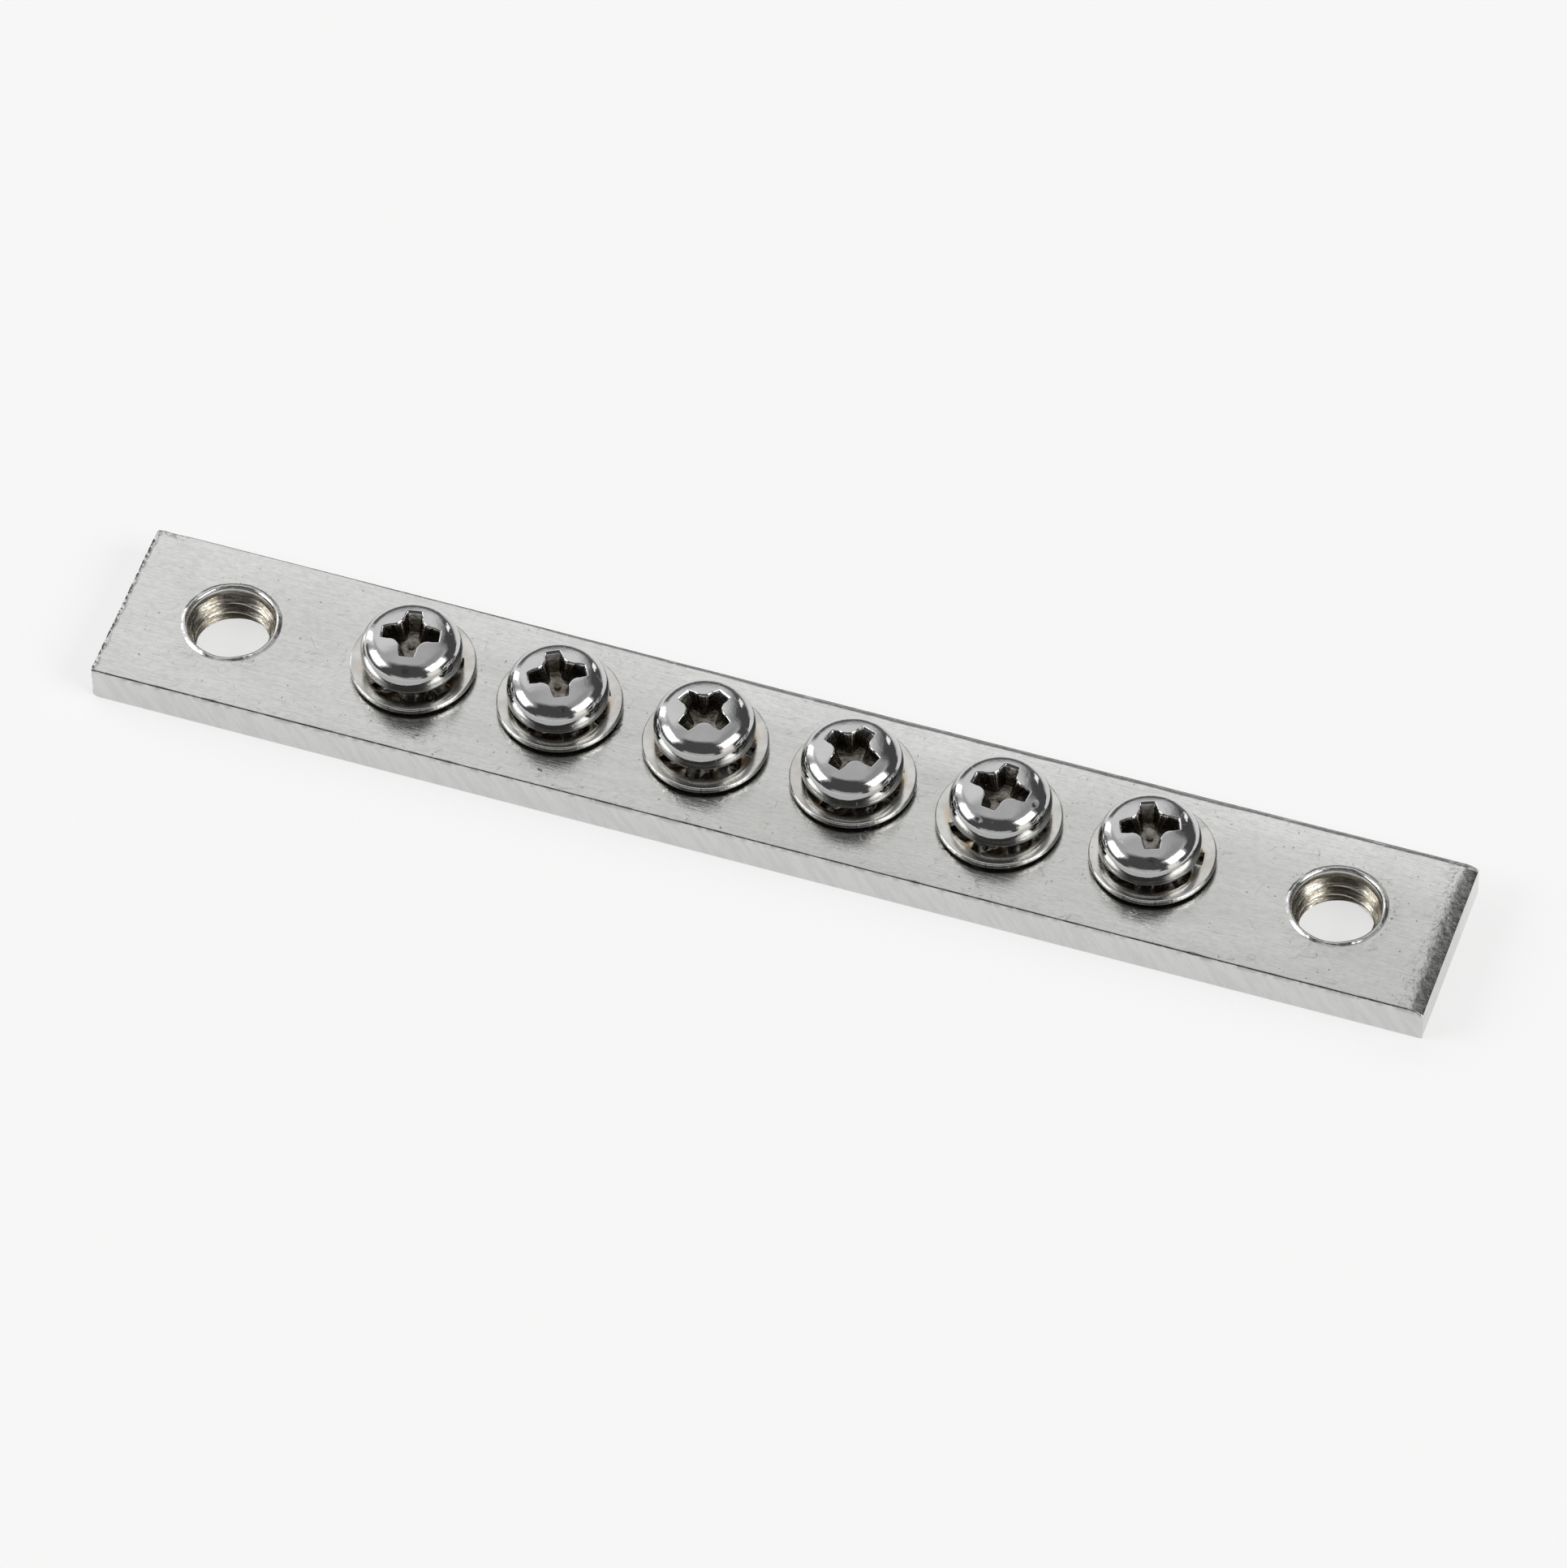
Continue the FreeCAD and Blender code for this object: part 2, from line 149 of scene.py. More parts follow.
class MeshDraft:
    """Gathers points, faces and masks of one piece, and turns them into an object."""

    def __init__(self, masks: tuple[Mask, ...] = ()) -> None:
        """Starts an empty draft.

        Args:
            masks: The surface masks that the piece carries.
        """
        self.points: list[np.ndarray] = []
        self.faces: list[tuple[int, ...]] = []
        self.masks: dict[Mask, list[np.ndarray]] = {mask: [] for mask in masks}
        self.count = 0

    def add_points(self, points: np.ndarray, values: dict[Mask, np.ndarray | float]) -> int:
        """Adds loose points.

        Args:
            points: An array whose last axis holds X, Y and Z.
            values: The mask values, one for each point or one for all.

        Returns:
            The number of the first new point.
        """
        flat = np.asarray(points, float).reshape(-1, 3)
        first = self.count
        self.points.append(flat)
        for mask, parts in self.masks.items():
            given = np.asarray(values.get(mask, 0.0), float).reshape(-1)
            parts.append(np.broadcast_to(given, (len(flat),)) if given.size == 1 else given)
        self.count += len(flat)
        return first

    def add_grid(
        self, rows: np.ndarray, values: dict[Mask, np.ndarray | float] | None = None,
        closed: bool = True, flip: bool = False,
    ) -> None:
        """Adds a skin over rows of points.

        Args:
            rows: An array of rows by columns by X, Y and Z.
            values: The mask values of its points.
            closed: Whether the last column joins the first.
            flip: Whether the faces look the other way.
        """
        first = self.add_points(rows, values or {})
        row_count, column_count = rows.shape[:2]
        steps = column_count if closed else column_count - 1
        for row in range(row_count - 1):
            for column in range(steps):
                after = (column + 1) % column_count
                low, high = first + row * column_count, first + (row + 1) * column_count
                face = (low + column, low + after, high + after, high + column)
                self.faces.append(face[::-1] if flip else face)

    def add_faces(self, first: int, faces: list[tuple[int, ...]]) -> None:
        """Adds faces over points that are already in the draft, counted from first."""
        self.faces += [tuple(first + corner for corner in face) for face in faces]

    def moved(self, shift: Vector, turn: float) -> "MeshDraft":
        """Turns the draft about Z by an angle in degrees, then moves it.

        Args:
            shift: The way to go, in millimetres.
            turn: The angle, counted from +X towards +Y.

        Returns:
            The draft itself.
        """
        turned = np.array(Matrix.Rotation(math.radians(turn), 3, "Z"))
        self.points = [part @ turned.T + np.array(shift) for part in self.points]
        return self

    def build(self, name: str, sharp_angle: float) -> bpy.types.Object:
        """Welds the draft and makes an object of it.

        Args:
            name: The object's name.
            sharp_angle: Edges that turn by more degrees than this stay sharp.

        Returns:
            The new object, linked to the scene.
        """
        mesh = bpy.data.meshes.new(name)
        mesh.from_pydata(np.vstack(self.points) * MM, [], self.faces)
        for mask, parts in self.masks.items():
            layer = mesh.attributes.new(mask.value, "FLOAT", "POINT")
            layer.data.foreach_set("value", np.concatenate(parts).astype(np.float32))
        draft = bmesh.new()
        draft.from_mesh(mesh)
        bmesh.ops.remove_doubles(draft, verts=draft.verts, dist=WELD * MM)
        bmesh.ops.recalc_face_normals(draft, faces=draft.faces)
        draft.to_mesh(mesh)
        draft.free()
        mesh.polygons.foreach_set("use_smooth", [True] * len(mesh.polygons))
        mesh.set_sharp_from_angle(angle=math.radians(sharp_angle))
        piece = bpy.data.objects.new(name, mesh)
        bpy.context.scene.collection.objects.link(piece)
        return piece


def circle_rows(radii: np.ndarray, heights: np.ndarray, angles: np.ndarray) -> np.ndarray:
    """Rings about the Z axis.

    Args:
        radii: One radius for each ring, or rings by angles.
        heights: One height for each ring, or rings by angles.
        angles: The angles of the columns, in radians.

    Returns:
        An array of rings by angles by X, Y and Z.
    """
    shape = (len(heights), len(angles))
    radii = np.broadcast_to(np.asarray(radii, float).reshape(len(heights), -1), shape)
    level = np.broadcast_to(np.asarray(heights, float).reshape(len(heights), -1), shape)
    return np.stack([radii * np.cos(angles), radii * np.sin(angles), level], axis=2)


def circle_plan(centre: Vector, radius: float, columns: int) -> np.ndarray:
    """A circle round a centre, as X and Y, in a number of columns."""
    angles = np.arange(columns) * FULL_CIRCLE / columns
    return np.stack([np.cos(angles), np.sin(angles)], axis=1) * radius + np.array(centre[:2])


@dataclass(frozen=True)
class ThreadForm:
    """A right-hand screw thread of 60 degrees, told by its radii."""

    crest: float
    root: float
    pitch: float
    crest_share: float = 0.12
    root_share: float = 0.14
    flank_steps: int = 6

    def phases(self) -> np.ndarray:
        """Shares of the pitch at which the profile is drawn, from a crest up to the next."""
        half_crest, half_root = 0.5 * self.crest_share, 0.5 * self.root_share
        flank = np.linspace(half_crest, 0.5 - half_root, self.flank_steps + 1)
        return np.concatenate([[0.0], flank, [0.5], 1.0 - flank[::-1]])

    def helix_rows(self, low: float, high: float, start: float, angles: np.ndarray) -> np.ndarray:
        """Heights of rows that run along the thread, cut off at two heights.

        Args:
            low: The lowest height.
            high: The highest height.
            start: Height of a crest at angle 0.
            angles: The angles of the columns in radians, the last a full turn on from the first.

        Returns:
            The heights, rows by angles.
        """
        first = math.floor((low - start) / self.pitch) - 2
        last = math.ceil((high - start) / self.pitch) + 2
        turns = (np.arange(first, last)[:, None] + self.phases()[None, :]).reshape(-1)
        heights = start + self.pitch * (turns[:, None] + angles[None, :] / FULL_CIRCLE)
        return np.clip(heights, low, high)

    def depth_share(self, heights: np.ndarray, angles: np.ndarray, start: float) -> np.ndarray:
        """How deep in the groove each point lies.

        Args:
            heights: Heights, rows by angles.
            angles: Angles of the columns, in radians.
            start: Height of a crest at angle 0.

        Returns:
            Rows by columns, 0 on the crest and 1 in the root.
        """
        turn = (heights - start) / self.pitch - angles[None, :] / FULL_CIRCLE
        way = np.abs((turn % 1.0) * 2.0 - 1.0)
        flank = 1.0 - self.root_share - self.crest_share
        return 1.0 - np.clip((way - self.root_share) / flank, 0.0, 1.0)

    def radii(self, depth: np.ndarray) -> np.ndarray:
        """The radius of each point, from how deep in the groove it lies."""
        return self.crest + (self.root - self.crest) * depth


@dataclass
class MountingHole:
    """A tapped hole with a rounded mouth and the ridge that tapping threw up round it."""

    centre: Vector
    top: float
    thread: ThreadForm
    ridge_foot: float = 3.54
    ridge_crown: float = 3.24
    ridge_height: float = 0.12
    ridge_steps: int = 12
    broad_reach: float = 2.0
    broad_rise: float = 0.7
    fine_reach: float = 14.0
    fine_rise: float = 0.2
    crown_wander: float = 0.03
    mouth_depth: float = 0.16
    throat_radius: float = 3.03
    wall_slope: float = 0.06
    cone_top: float = 2.26
    cone_slope: float = 1.2
    under_radius: float = 2.68
    under_slope: float = 1.0
    crest_at_back: float = 1.78
    columns: int = 192

    def rim(self, lower: bool) -> np.ndarray:
        """The hole's edge in the underside or in the top face, as X and Y."""
        return circle_plan(self.centre, self.under_radius if lower else self.ridge_foot, self.columns)

    def throat(self, heights: np.ndarray) -> np.ndarray:
        """Radius of the plain wall over the thread, and of the cone where it ends in the crests.

        Args:
            heights: The heights of the points.

        Returns:
            Their radii.
        """
        below_entry = self.top - self.mouth_depth - heights
        below_cone = np.maximum(self.cone_top - heights, 0.0)
        wall = self.throat_radius - below_entry * self.wall_slope
        return wall - below_cone * (self.cone_slope - self.wall_slope)

    def mouth_rows(self, angles: np.ndarray) -> np.ndarray:
        """Rows from the foot of the ridge over its crown and down to the plain wall.

        Args:
            angles: The angles of the columns, in radians.

        Returns:
            Rows of points about the hole's axis.
        """
        broad = ring_wobble(angles, self.broad_reach)
        fine = ring_wobble(angles, self.fine_reach)
        rise = self.ridge_height * (1.0 + self.broad_rise * broad + self.fine_rise * fine)
        shares = np.linspace(0.0, 1.0, self.ridge_steps + 1)
        crown = self.ridge_crown + self.crown_wander * fine[None, :]
        outer = self.ridge_foot + (crown - self.ridge_foot) * shares[:, None]
        outer_heights = self.top + smooth_share(shares)[:, None] * rise[None, :]
        turns = QUARTER_CIRCLE * shares[1:]
        inner = crown - (crown - self.throat_radius) * np.sin(turns)[:, None]
        fall = (1.0 - np.cos(turns))[:, None] * (rise[None, :] + self.mouth_depth)
        inner_heights = self.top + rise[None, :] - fall
        return circle_rows(np.vstack([outer, inner]), np.vstack([outer_heights, inner_heights]), angles)

    def add_to(self, draft: MeshDraft) -> None:
        """Adds the mouth and the thread to the bar's draft.

        Args:
            draft: The piece's draft.
        """
        entry = self.top - self.mouth_depth
        start = self.crest_at_back - self.thread.pitch / QUARTERS
        angles = np.linspace(0.0, FULL_CIRCLE, self.columns + 1)
        heights = self.thread.helix_rows(0.0, entry, start, angles)
        depth = self.thread.depth_share(heights, angles, start)
        under = self.under_radius - heights * self.under_slope
        radii = np.maximum(self.thread.radii(depth), np.maximum(self.throat(heights), under))
        middle = np.array([*self.centre[:2], 0.0])
        inside = smooth_share((entry - heights) / self.mouth_depth)
        draft.add_grid(
            circle_rows(radii, heights, angles) + middle, {Mask.THREAD: inside, Mask.GROOVE: depth * inside},
            closed=False,
        )
        draft.add_grid(self.mouth_rows(angles[:-1]) + middle, flip=True)


@dataclass
class TerminalBore:
    """The plain mouth of a bore that a terminal screw fills."""

    centre: Vector
    top: float
    radius: float = 2.03
    under_chamfer: float = 0.2
    columns: int = 64

    def rim(self, lower: bool) -> np.ndarray:
        """The bore's edge in the underside or in the top face, as X and Y."""
        return circle_plan(self.centre, self.radius + (self.under_chamfer if lower else 0.0), self.columns)

    def add_to(self, draft: MeshDraft) -> None:
        """Adds the bore's wall and lower chamfer to the bar's draft.

        Args:
            draft: The piece's draft.
        """
        angles = np.arange(self.columns) * FULL_CIRCLE / self.columns
        heights = np.array([self.top, 0.5 * self.top, self.under_chamfer, 0.0])
        radii = np.array([self.radius, self.radius, self.radius, self.radius + self.under_chamfer])
        rows = circle_rows(radii, heights, angles) + np.array([*self.centre[:2], 0.0])
        draft.add_grid(rows, flip=True)


@dataclass(frozen=True)
class Border:
    """How far the bent border of a face reaches in from each side of the bar."""

    left: float
    right: float
    front: float
    back: float


# Places along the bar where the front edge is nicked, and how deep.
FRONT_NICKS = ((-38.6, 0.07), (-21.3, 0.05), (11.9, 0.1), (31.4, 0.12), (40.2, 0.05))


@dataclass
class Busbar:
    """The plated bar, with the marks that shearing and handling left on it."""

    left: float
    right: float
    front: float
    back: float
    top: float
    mounting_holes: list[MountingHole]
    bores: list[TerminalBore]
    roll_width: float = 1.05
    roll_bulge: float = 0.5
    roll_drop: float = 0.35
    back_roll_left: float = 0.1
    back_roll_right: float = 0.5
    back_crease: float = 14.0
    back_tilt: float = 24.0
    crown_width: float = 1.6
    crown_drop: float = 0.045
    lower_left_round: float = 0.6
    lower_round: float = 0.06
    front_edge_round: float = 0.1
    burr_width: float = 0.33
    burr_depth: float = 0.1
    corner_radius: float = 0.12
    long_step: float = 0.4
    right_step: float = 0.11
    left_step: float = 0.06
    side_rows: int = 8
    border_steps: int = 26
    lug_length: float = 2.5
    lug_width: float = 0.55
    lug_depth: float = 0.05
    lug_torn: float = 0.4
    lug_unevenness: float = 0.3
    lug_end_slope: float = 1.4
    lug_side_slope: float = 5.0
    bruise_depth: float = 0.04
    bruise_slant: float = 1.3
    tear_share: float = 0.55
    crumb_share: float = 0.45
    burr_share: float = 0.7
    burr_slant: float = 3.0
    flake_share: float = 0.3
    flake_slant: float = -5.0
    roll_unevenness: float = 0.08
    crease_run: float = 0.6
    slow_crease: float = 0.14
    quick_crease: float = 0.05
    front_unevenness: float = 0.35
    nick_length: float = 0.25
    torn_unevenness: float = 0.35
    torn_reach: float = 1.3
    front_line_place: float = 0.4
    front_line_width: float = 0.45
    back_line_share: float = 0.6
    back_line_width: float = 0.07
    cut_face_depth: float = 0.05
    cut_face_scale: float = 1.7
    cut_face_slant: float = 4.0
    bend_along: float = 1.2
    bend_across: float = 2.3
    corner_steps: int = 5
    snap: float = 1e-7
    sharp_angle: float = 17.0
    upper_border: Border = Border(0.55, 1.75, 1.8, 1.9)
    lower_border: Border = Border(0.7, 0.14, 0.14, 0.14)

    def outline(self) -> np.ndarray:
        """The bar's outline seen from above, counterclockwise, as X and Y."""
        radius = self.corner_radius
        arc = np.linspace(0.0, QUARTER_CIRCLE, self.corner_steps)
        points: list[tuple[float, float]] = []
        corners = [
            (self.right - radius, self.front + radius, -QUARTER_CIRCLE, self.right_step),
            (self.right - radius, self.back - radius, 0.0, self.long_step),
            (self.left + radius, self.back - radius, QUARTER_CIRCLE, self.left_step),
            (self.left + radius, self.front + radius, math.pi, self.long_step),
        ]
        for number, (centre_x, centre_y, first, step) in enumerate(corners):
            bend = [
                (centre_x + radius * math.cos(turn), centre_y + radius * math.sin(turn))
                for turn in first + arc
            ]
            points += bend
            next_x, next_y, next_first, _ = corners[(number + 1) % len(corners)]
            goal = (next_x + radius * math.cos(next_first), next_y + radius * math.sin(next_first))
            run = math.dist(bend[-1], goal)
            pieces = max(2, round(run / step))
            points += [
                (bend[-1][0] + (goal[0] - bend[-1][0]) * share, bend[-1][1] + (goal[1] - bend[-1][1]) * share)
                for share in (np.arange(1, pieces) / pieces)
            ]
        return np.array([self.ragged(x, y) for x, y in points])

    def ragged(self, x: float, y: float) -> tuple[float, float]:
        """An outline point, pushed in where the cut end is torn.

        Args:
            x: Place along the bar.
            y: Place across it.

        Returns:
            The point.
        """
        near = float(smooth_share(1.0 - (x - self.left) / self.burr_width))
        torn = self.tear_share * uneven(y, Run.TEAR) + self.crumb_share * uneven(y, Run.CRUMB)
        return x + near * self.burr_depth * torn, y

    def roll_width_at(self, y: float) -> float:
        """How far the rolled right end reaches in, at a place across the bar.

        Args:
            y: Place across it.

        Returns:
            The width of the roll.
        """
        share = 2.0 * (y - self.front) / (self.back - self.front) - 1.0
        steady = self.roll_width + self.roll_bulge * (1.0 - share * share)
        return steady * (1.0 + self.roll_unevenness * wobble(y, Run.ROLL))

    def right_drop(self, x: float, y: float) -> float:
        """How far the rolled right end has fallen at a place.

        Args:
            x: Place along the bar.
            y: Place across it.

        Returns:
            The drop.
        """
        width = self.roll_width_at(y)
        into = x - (self.right - width)
        if into <= 0.0:
            return 0.0
        radius = (width ** 2 + self.roll_drop ** 2) / (2.0 * self.roll_drop)
        return radius - math.sqrt(radius ** 2 - min(into, width) ** 2)

    def back_drop(self, x: float, y: float) -> float:
        """How far the back edge has fallen at a place: a slow crown, then a creased roll.

        Args:
            x: Place along the bar.
            y: Place across it.

        Returns:
            The drop.
        """
        crown = max(0.0, (y - (self.back - self.crown_width)) / self.crown_width)
        share = smooth_share((x - self.left) / (self.crease_run * (self.right - self.left)))
        width = self.back_roll_left + (self.back_roll_right - self.back_roll_left) * float(share)
        slow = self.slow_crease * wobble(x, Run.SLOW_CREASE)
        quick = self.quick_crease * wobble(x, Run.QUICK_CREASE)
        width *= 1.0 + slow + quick
        into = max(0.0, y - (self.back - width))
        first = math.tan(math.radians(self.back_crease * float(share)))
        last = math.tan(math.radians(self.back_tilt))
        return self.crown_drop * crown ** 2 + into * first + 0.5 * (last - first) * into ** 2 / width

    def front_drop(self, x: float, y: float) -> float:
        """How far the front edge has fallen at a place: a slow crown, then a crisp round.

        Args:
            x: Place along the bar.
            y: Place across it.

        Returns:
            The drop.
        """
        crown = max(0.0, (self.front + self.crown_width - y) / self.crown_width)
        radius = self.front_round(x)
        gap = y - self.front
        drop = self.crown_drop * crown ** 2
        if gap < radius:
            drop += radius - math.sqrt(max(radius ** 2 - (radius - gap) ** 2, 0.0))
        return drop

    def lug(self, x: float, y: float) -> float:
        """How much a place belongs to the bruised lug at the back of the cut end, from 0 to 1.

        Args:
            x: Place along the bar.
            y: Place across it.

        Returns:
            The share.
        """
        along = float(smooth_share((self.left + self.lug_length - x) * self.lug_end_slope))
        width = self.lug_width * (1.0 + self.lug_unevenness * wobble(x, Run.LUG))
        return along * float(smooth_share((y - (self.back - width)) * self.lug_side_slope))

    def top_height(self, x: float, y: float) -> float:
        """Height of the top face, with its rolled, rounded and burred edges.

        Args:
            x: Place along the bar.
            y: Place across it.

        Returns:
            The height.
        """
        drop = self.right_drop(x, y) + self.back_drop(x, y) + self.front_drop(x, y)
        gap = x - self.left
        if gap < self.burr_width:
            near = float(smooth_share(1.0 - gap / self.burr_width))
            burr = uneven(y + self.burr_slant * gap, Run.BURR)
            flake = uneven(y + self.flake_slant * gap, Run.FLAKE)
            drop += self.burr_depth * near * (self.burr_share * burr + self.flake_share * flake)
        bruise = self.bruise_depth * wobble(x * self.bruise_slant + y, Run.BRUISE)
        return self.top - (drop + self.lug(x, y) * (self.lug_depth + bruise))

    def front_round(self, x: float) -> float:
        """Radius of the crisp front edge, larger at its nicks.

        Args:
            x: Place along the bar.

        Returns:
            The radius.
        """
        radius = self.front_edge_round * (1.0 + self.front_unevenness * wobble(x, Run.FRONT_EDGE))
        for place, size in FRONT_NICKS:
            radius += size * math.exp(-((x - place) / self.nick_length) ** 2)
        return radius

    def bottom_height(self, x: float, y: float) -> float:
        """Height of the underside, with its rounded edges.

        Args:
            x: Place along the bar.
            y: Place across it.

        Returns:
            The height.
        """
        rise = 0.0
        for radius, gap in (
            (self.lower_left_round, x - self.left), (self.lower_round, self.right - x),
            (self.lower_round, self.back - y), (self.lower_round, y - self.front),
        ):
            if gap < radius:
                rise = max(rise, radius - math.sqrt(max(radius ** 2 - (radius - max(gap, 0.0)) ** 2, 0.0)))
        return rise

    def sheared_share(self, x: float, y: float) -> float:
        """How torn the plate is at a place, from 0 to 1.

        Args:
            x: Place along the bar.
            y: Place across it.

        Returns:
            The share.
        """
        edge = self.burr_width * (1.0 + self.torn_unevenness * wobble(y, Run.TORN))
        torn = float(smooth_share(self.torn_reach - (x - self.left) / edge))
        return max(torn, self.lug_torn * self.lug(x, y))

    def edge_shade_share(self, x: float, y: float) -> float:
        """How much a place lies on the dark line painted along the front or the back edge, as shade for the
        dark reflection of its rounding.

        Args:
            x: Place along the bar.
            y: Place across it.

        Returns:
            The share.
        """
        radius = self.front_round(x)
        away = (y - self.front) - self.front_line_place * radius
        front = math.exp(-(away / (self.front_line_width * radius)) ** 2)
        back = self.back_line_share * math.exp(-((self.back - y) / self.back_line_width) ** 2)
        return max(front, back)

    def add_face(self, draft: MeshDraft, outline: np.ndarray, lower: bool) -> None:
        """Adds the top face or the underside: a bent border, then the flat middle with its holes.

        Args:
            draft: The bar's draft.
            outline: The bar's outline.
            lower: Whether it is the underside.
        """
        border = self.lower_border if lower else self.upper_border
        height = self.bottom_height if lower else self.top_height
        goal_x = np.clip(outline[:, 0], self.left + border.left, self.right - border.right)
        goal_y = np.clip(outline[:, 1], self.front + border.front, self.back - border.back)
        steps = np.linspace(0.0, 1.0, (self.side_rows if lower else self.border_steps) + 1)[:, None]
        plan_x = outline[:, 0] + (goal_x - outline[:, 0]) * steps ** self.bend_along
        plan_y = outline[:, 1] + (goal_y - outline[:, 1]) * steps ** self.bend_across
        flat = list(zip(plan_x.reshape(-1), plan_y.reshape(-1)))
        heights = np.array([height(x, y) for x, y in flat]).reshape(plan_x.shape)
        values = {Mask.SHEARED: np.array([self.sheared_share(x, y) for x, y in flat])}
        if not lower:
            values[Mask.EDGE] = np.array([self.edge_shade_share(x, y) for x, y in flat])
        draft.add_grid(np.stack([plan_x, plan_y, heights], axis=2), values, flip=lower)
        self.add_middle(draft, np.column_stack([goal_x, goal_y]), heights[-1], lower)

    def add_middle(self, draft: MeshDraft, goal: np.ndarray, heights: np.ndarray, lower: bool) -> None:
        """Adds the flat middle of a face, between the border and the holes.

        Args:
            draft: The bar's draft.
            goal: The inner line of the border, with repeated corners.
            heights: Its heights.
            lower: Whether it is the underside.
        """
        fresh = np.linalg.norm(goal - np.roll(goal, 1, axis=0), axis=1) > WELD
        inner = goal[fresh]
        loops = [inner] + [hole.rim(lower) for hole in [*self.mounting_holes, *self.bores]]
        edges = []
        start = 0
        for loop in loops:
            count = len(loop)
            edges += [(start + number, start + (number + 1) % count) for number in range(count)]
            start += count
        flat = [Vector((float(x), float(y))) for x, y in np.vstack(loops)]
        found, _, faces, *_ = delaunay_2d_cdt(flat, edges, [], 0, self.snap, False)
        plan = np.array([tuple(point) for point in found])
        centres = np.array([plan[list(face)].mean(axis=0) for face in faces])
        keep = inside_loop(centres, inner)
        for rim in loops[1:]:
            keep &= ~inside_loop(centres, rim)
        level = float(np.mean(heights))
        first = draft.add_points(np.column_stack([plan, np.full(len(plan), level)]), {})
        kept = [tuple(face) for face, good in zip(faces, keep) if good]
        draft.add_faces(first, [face[::-1] for face in kept] if lower else kept)

    def add_sides(self, draft: MeshDraft, outline: np.ndarray) -> None:
        """Adds the upright faces between the top and the underside.

        Args:
            draft: The bar's draft.
            outline: The bar's outline.
        """
        upper = np.array([self.top_height(x, y) for x, y in outline])
        lower = np.array([self.bottom_height(x, y) for x, y in outline])
        rows = []
        values = []
        torn = smooth_share(1.0 - (outline[:, 0] - self.left) / self.burr_width)
        for share in np.linspace(0.0, 1.0, self.side_rows):
            heights = lower + (upper - lower) * share
            middle = 4.0 * share * (1.0 - share)
            places = outline[:, 1] * self.cut_face_scale + self.cut_face_slant * share
            shift = np.array([uneven(place, Run.CUT_FACE) for place in places])
            across = outline[:, 0] + torn * self.cut_face_depth * middle * shift
            rows.append(np.column_stack([across, outline[:, 1], heights]))
            values.append(torn)
        draft.add_grid(np.array(rows), {Mask.SHEARED: np.array(values)})

    def build(self) -> bpy.types.Object:
        """Builds the bar.

        Returns:
            The bar as one object.
        """
        draft = MeshDraft((Mask.THREAD, Mask.GROOVE, Mask.SHEARED, Mask.EDGE))
        outline = self.outline()
        self.add_face(draft, outline, lower=False)
        self.add_face(draft, outline, lower=True)
        self.add_sides(draft, outline)
        for hole in [*self.mounting_holes, *self.bores]:
            hole.add_to(draft)
        return draft.build("plated_terminal_bar", self.sharp_angle)


def inside_loop(points: np.ndarray, loop: np.ndarray) -> np.ndarray:
    """Which points lie inside a closed loop, told by counting crossings.

    Args:
        points: An array of X and Y.
        loop: The loop's corners in order.

    Returns:
        One truth value for each point.
    """
    inside = np.zeros(len(points), bool)
    ends = np.roll(loop, -1, axis=0)
    for (x0, y0), (x1, y1) in zip(loop, ends):
        if y0 == y1:
            continue
        spans = (points[:, 1] < y0) != (points[:, 1] < y1)
        crossing = x0 + (points[:, 1] - y0) * (x1 - x0) / (y1 - y0)
        inside ^= spans & (points[:, 0] < crossing)
    return inside


@dataclass(frozen=True)
class RecessOutline:
    """One level of the cross recess: four arms with a round lobe of metal between them."""

    reach: float
    arm_width: float
    flare: float
    flare_start: float
    lobe: float
    end_steps: int = 8
    side_steps: int = 6
    lobe_steps: int = 24

    def points(self) -> np.ndarray:
        """The outline as X and Y, counterclockwise from the lower corner of the +X arm."""
        half_arm, half_flare = self.arm_width / 2.0, self.flare / 2.0
        rise = self.flare_start ** 2 + half_flare ** 2 - self.lobe ** 2
        centre = rise / (2.0 * (self.flare_start + half_flare - self.lobe * math.sqrt(2.0)))
        radius = math.hypot(self.flare_start - centre, half_flare - centre)
        first = math.atan2(half_flare - centre, self.flare_start - centre) % FULL_CIRCLE
        last = math.atan2(self.flare_start - centre, half_flare - centre) % FULL_CIRCLE
        shares = np.arange(self.end_steps)[:, None] / self.end_steps
        end = np.array([self.reach, -half_arm]) + shares * np.array([0.0, self.arm_width])
        shares = np.arange(self.side_steps)[:, None] / self.side_steps
        out = np.array([self.flare_start - self.reach, half_flare - half_arm])
        side = np.array([self.reach, half_arm]) + shares * out
        turns = first + (last - first) * np.arange(self.lobe_steps) / self.lobe_steps
        lobe = np.stack([centre + radius * np.cos(turns), centre + radius * np.sin(turns)], axis=1)
        back = np.array([half_flare, self.flare_start]) - shares * out[::-1]
        quarter = np.vstack([end, side, lobe, back])
        turned = [quarter]
        for _ in range(QUARTERS - 1):
            before = turned[-1]
            turned.append(np.stack([-before[:, 1], before[:, 0]], axis=1))
        return np.vstack(turned)


def outward(points: np.ndarray) -> np.ndarray:
    """Unit normals of a counterclockwise outline, pointing away from its inside."""
    along = np.roll(points, -1, axis=0) - np.roll(points, 1, axis=0)
    normal = np.stack([along[:, 1], -along[:, 0]], axis=1)
    return normal / np.linalg.norm(normal, axis=1, keepdims=True)


@dataclass(frozen=True)
class Dent:
    """A small dent in a screw's head, in degrees round the bar's upright and in millimetres."""

    azimuth: float
    reach: float
    height: float
    depth: float
    size: float


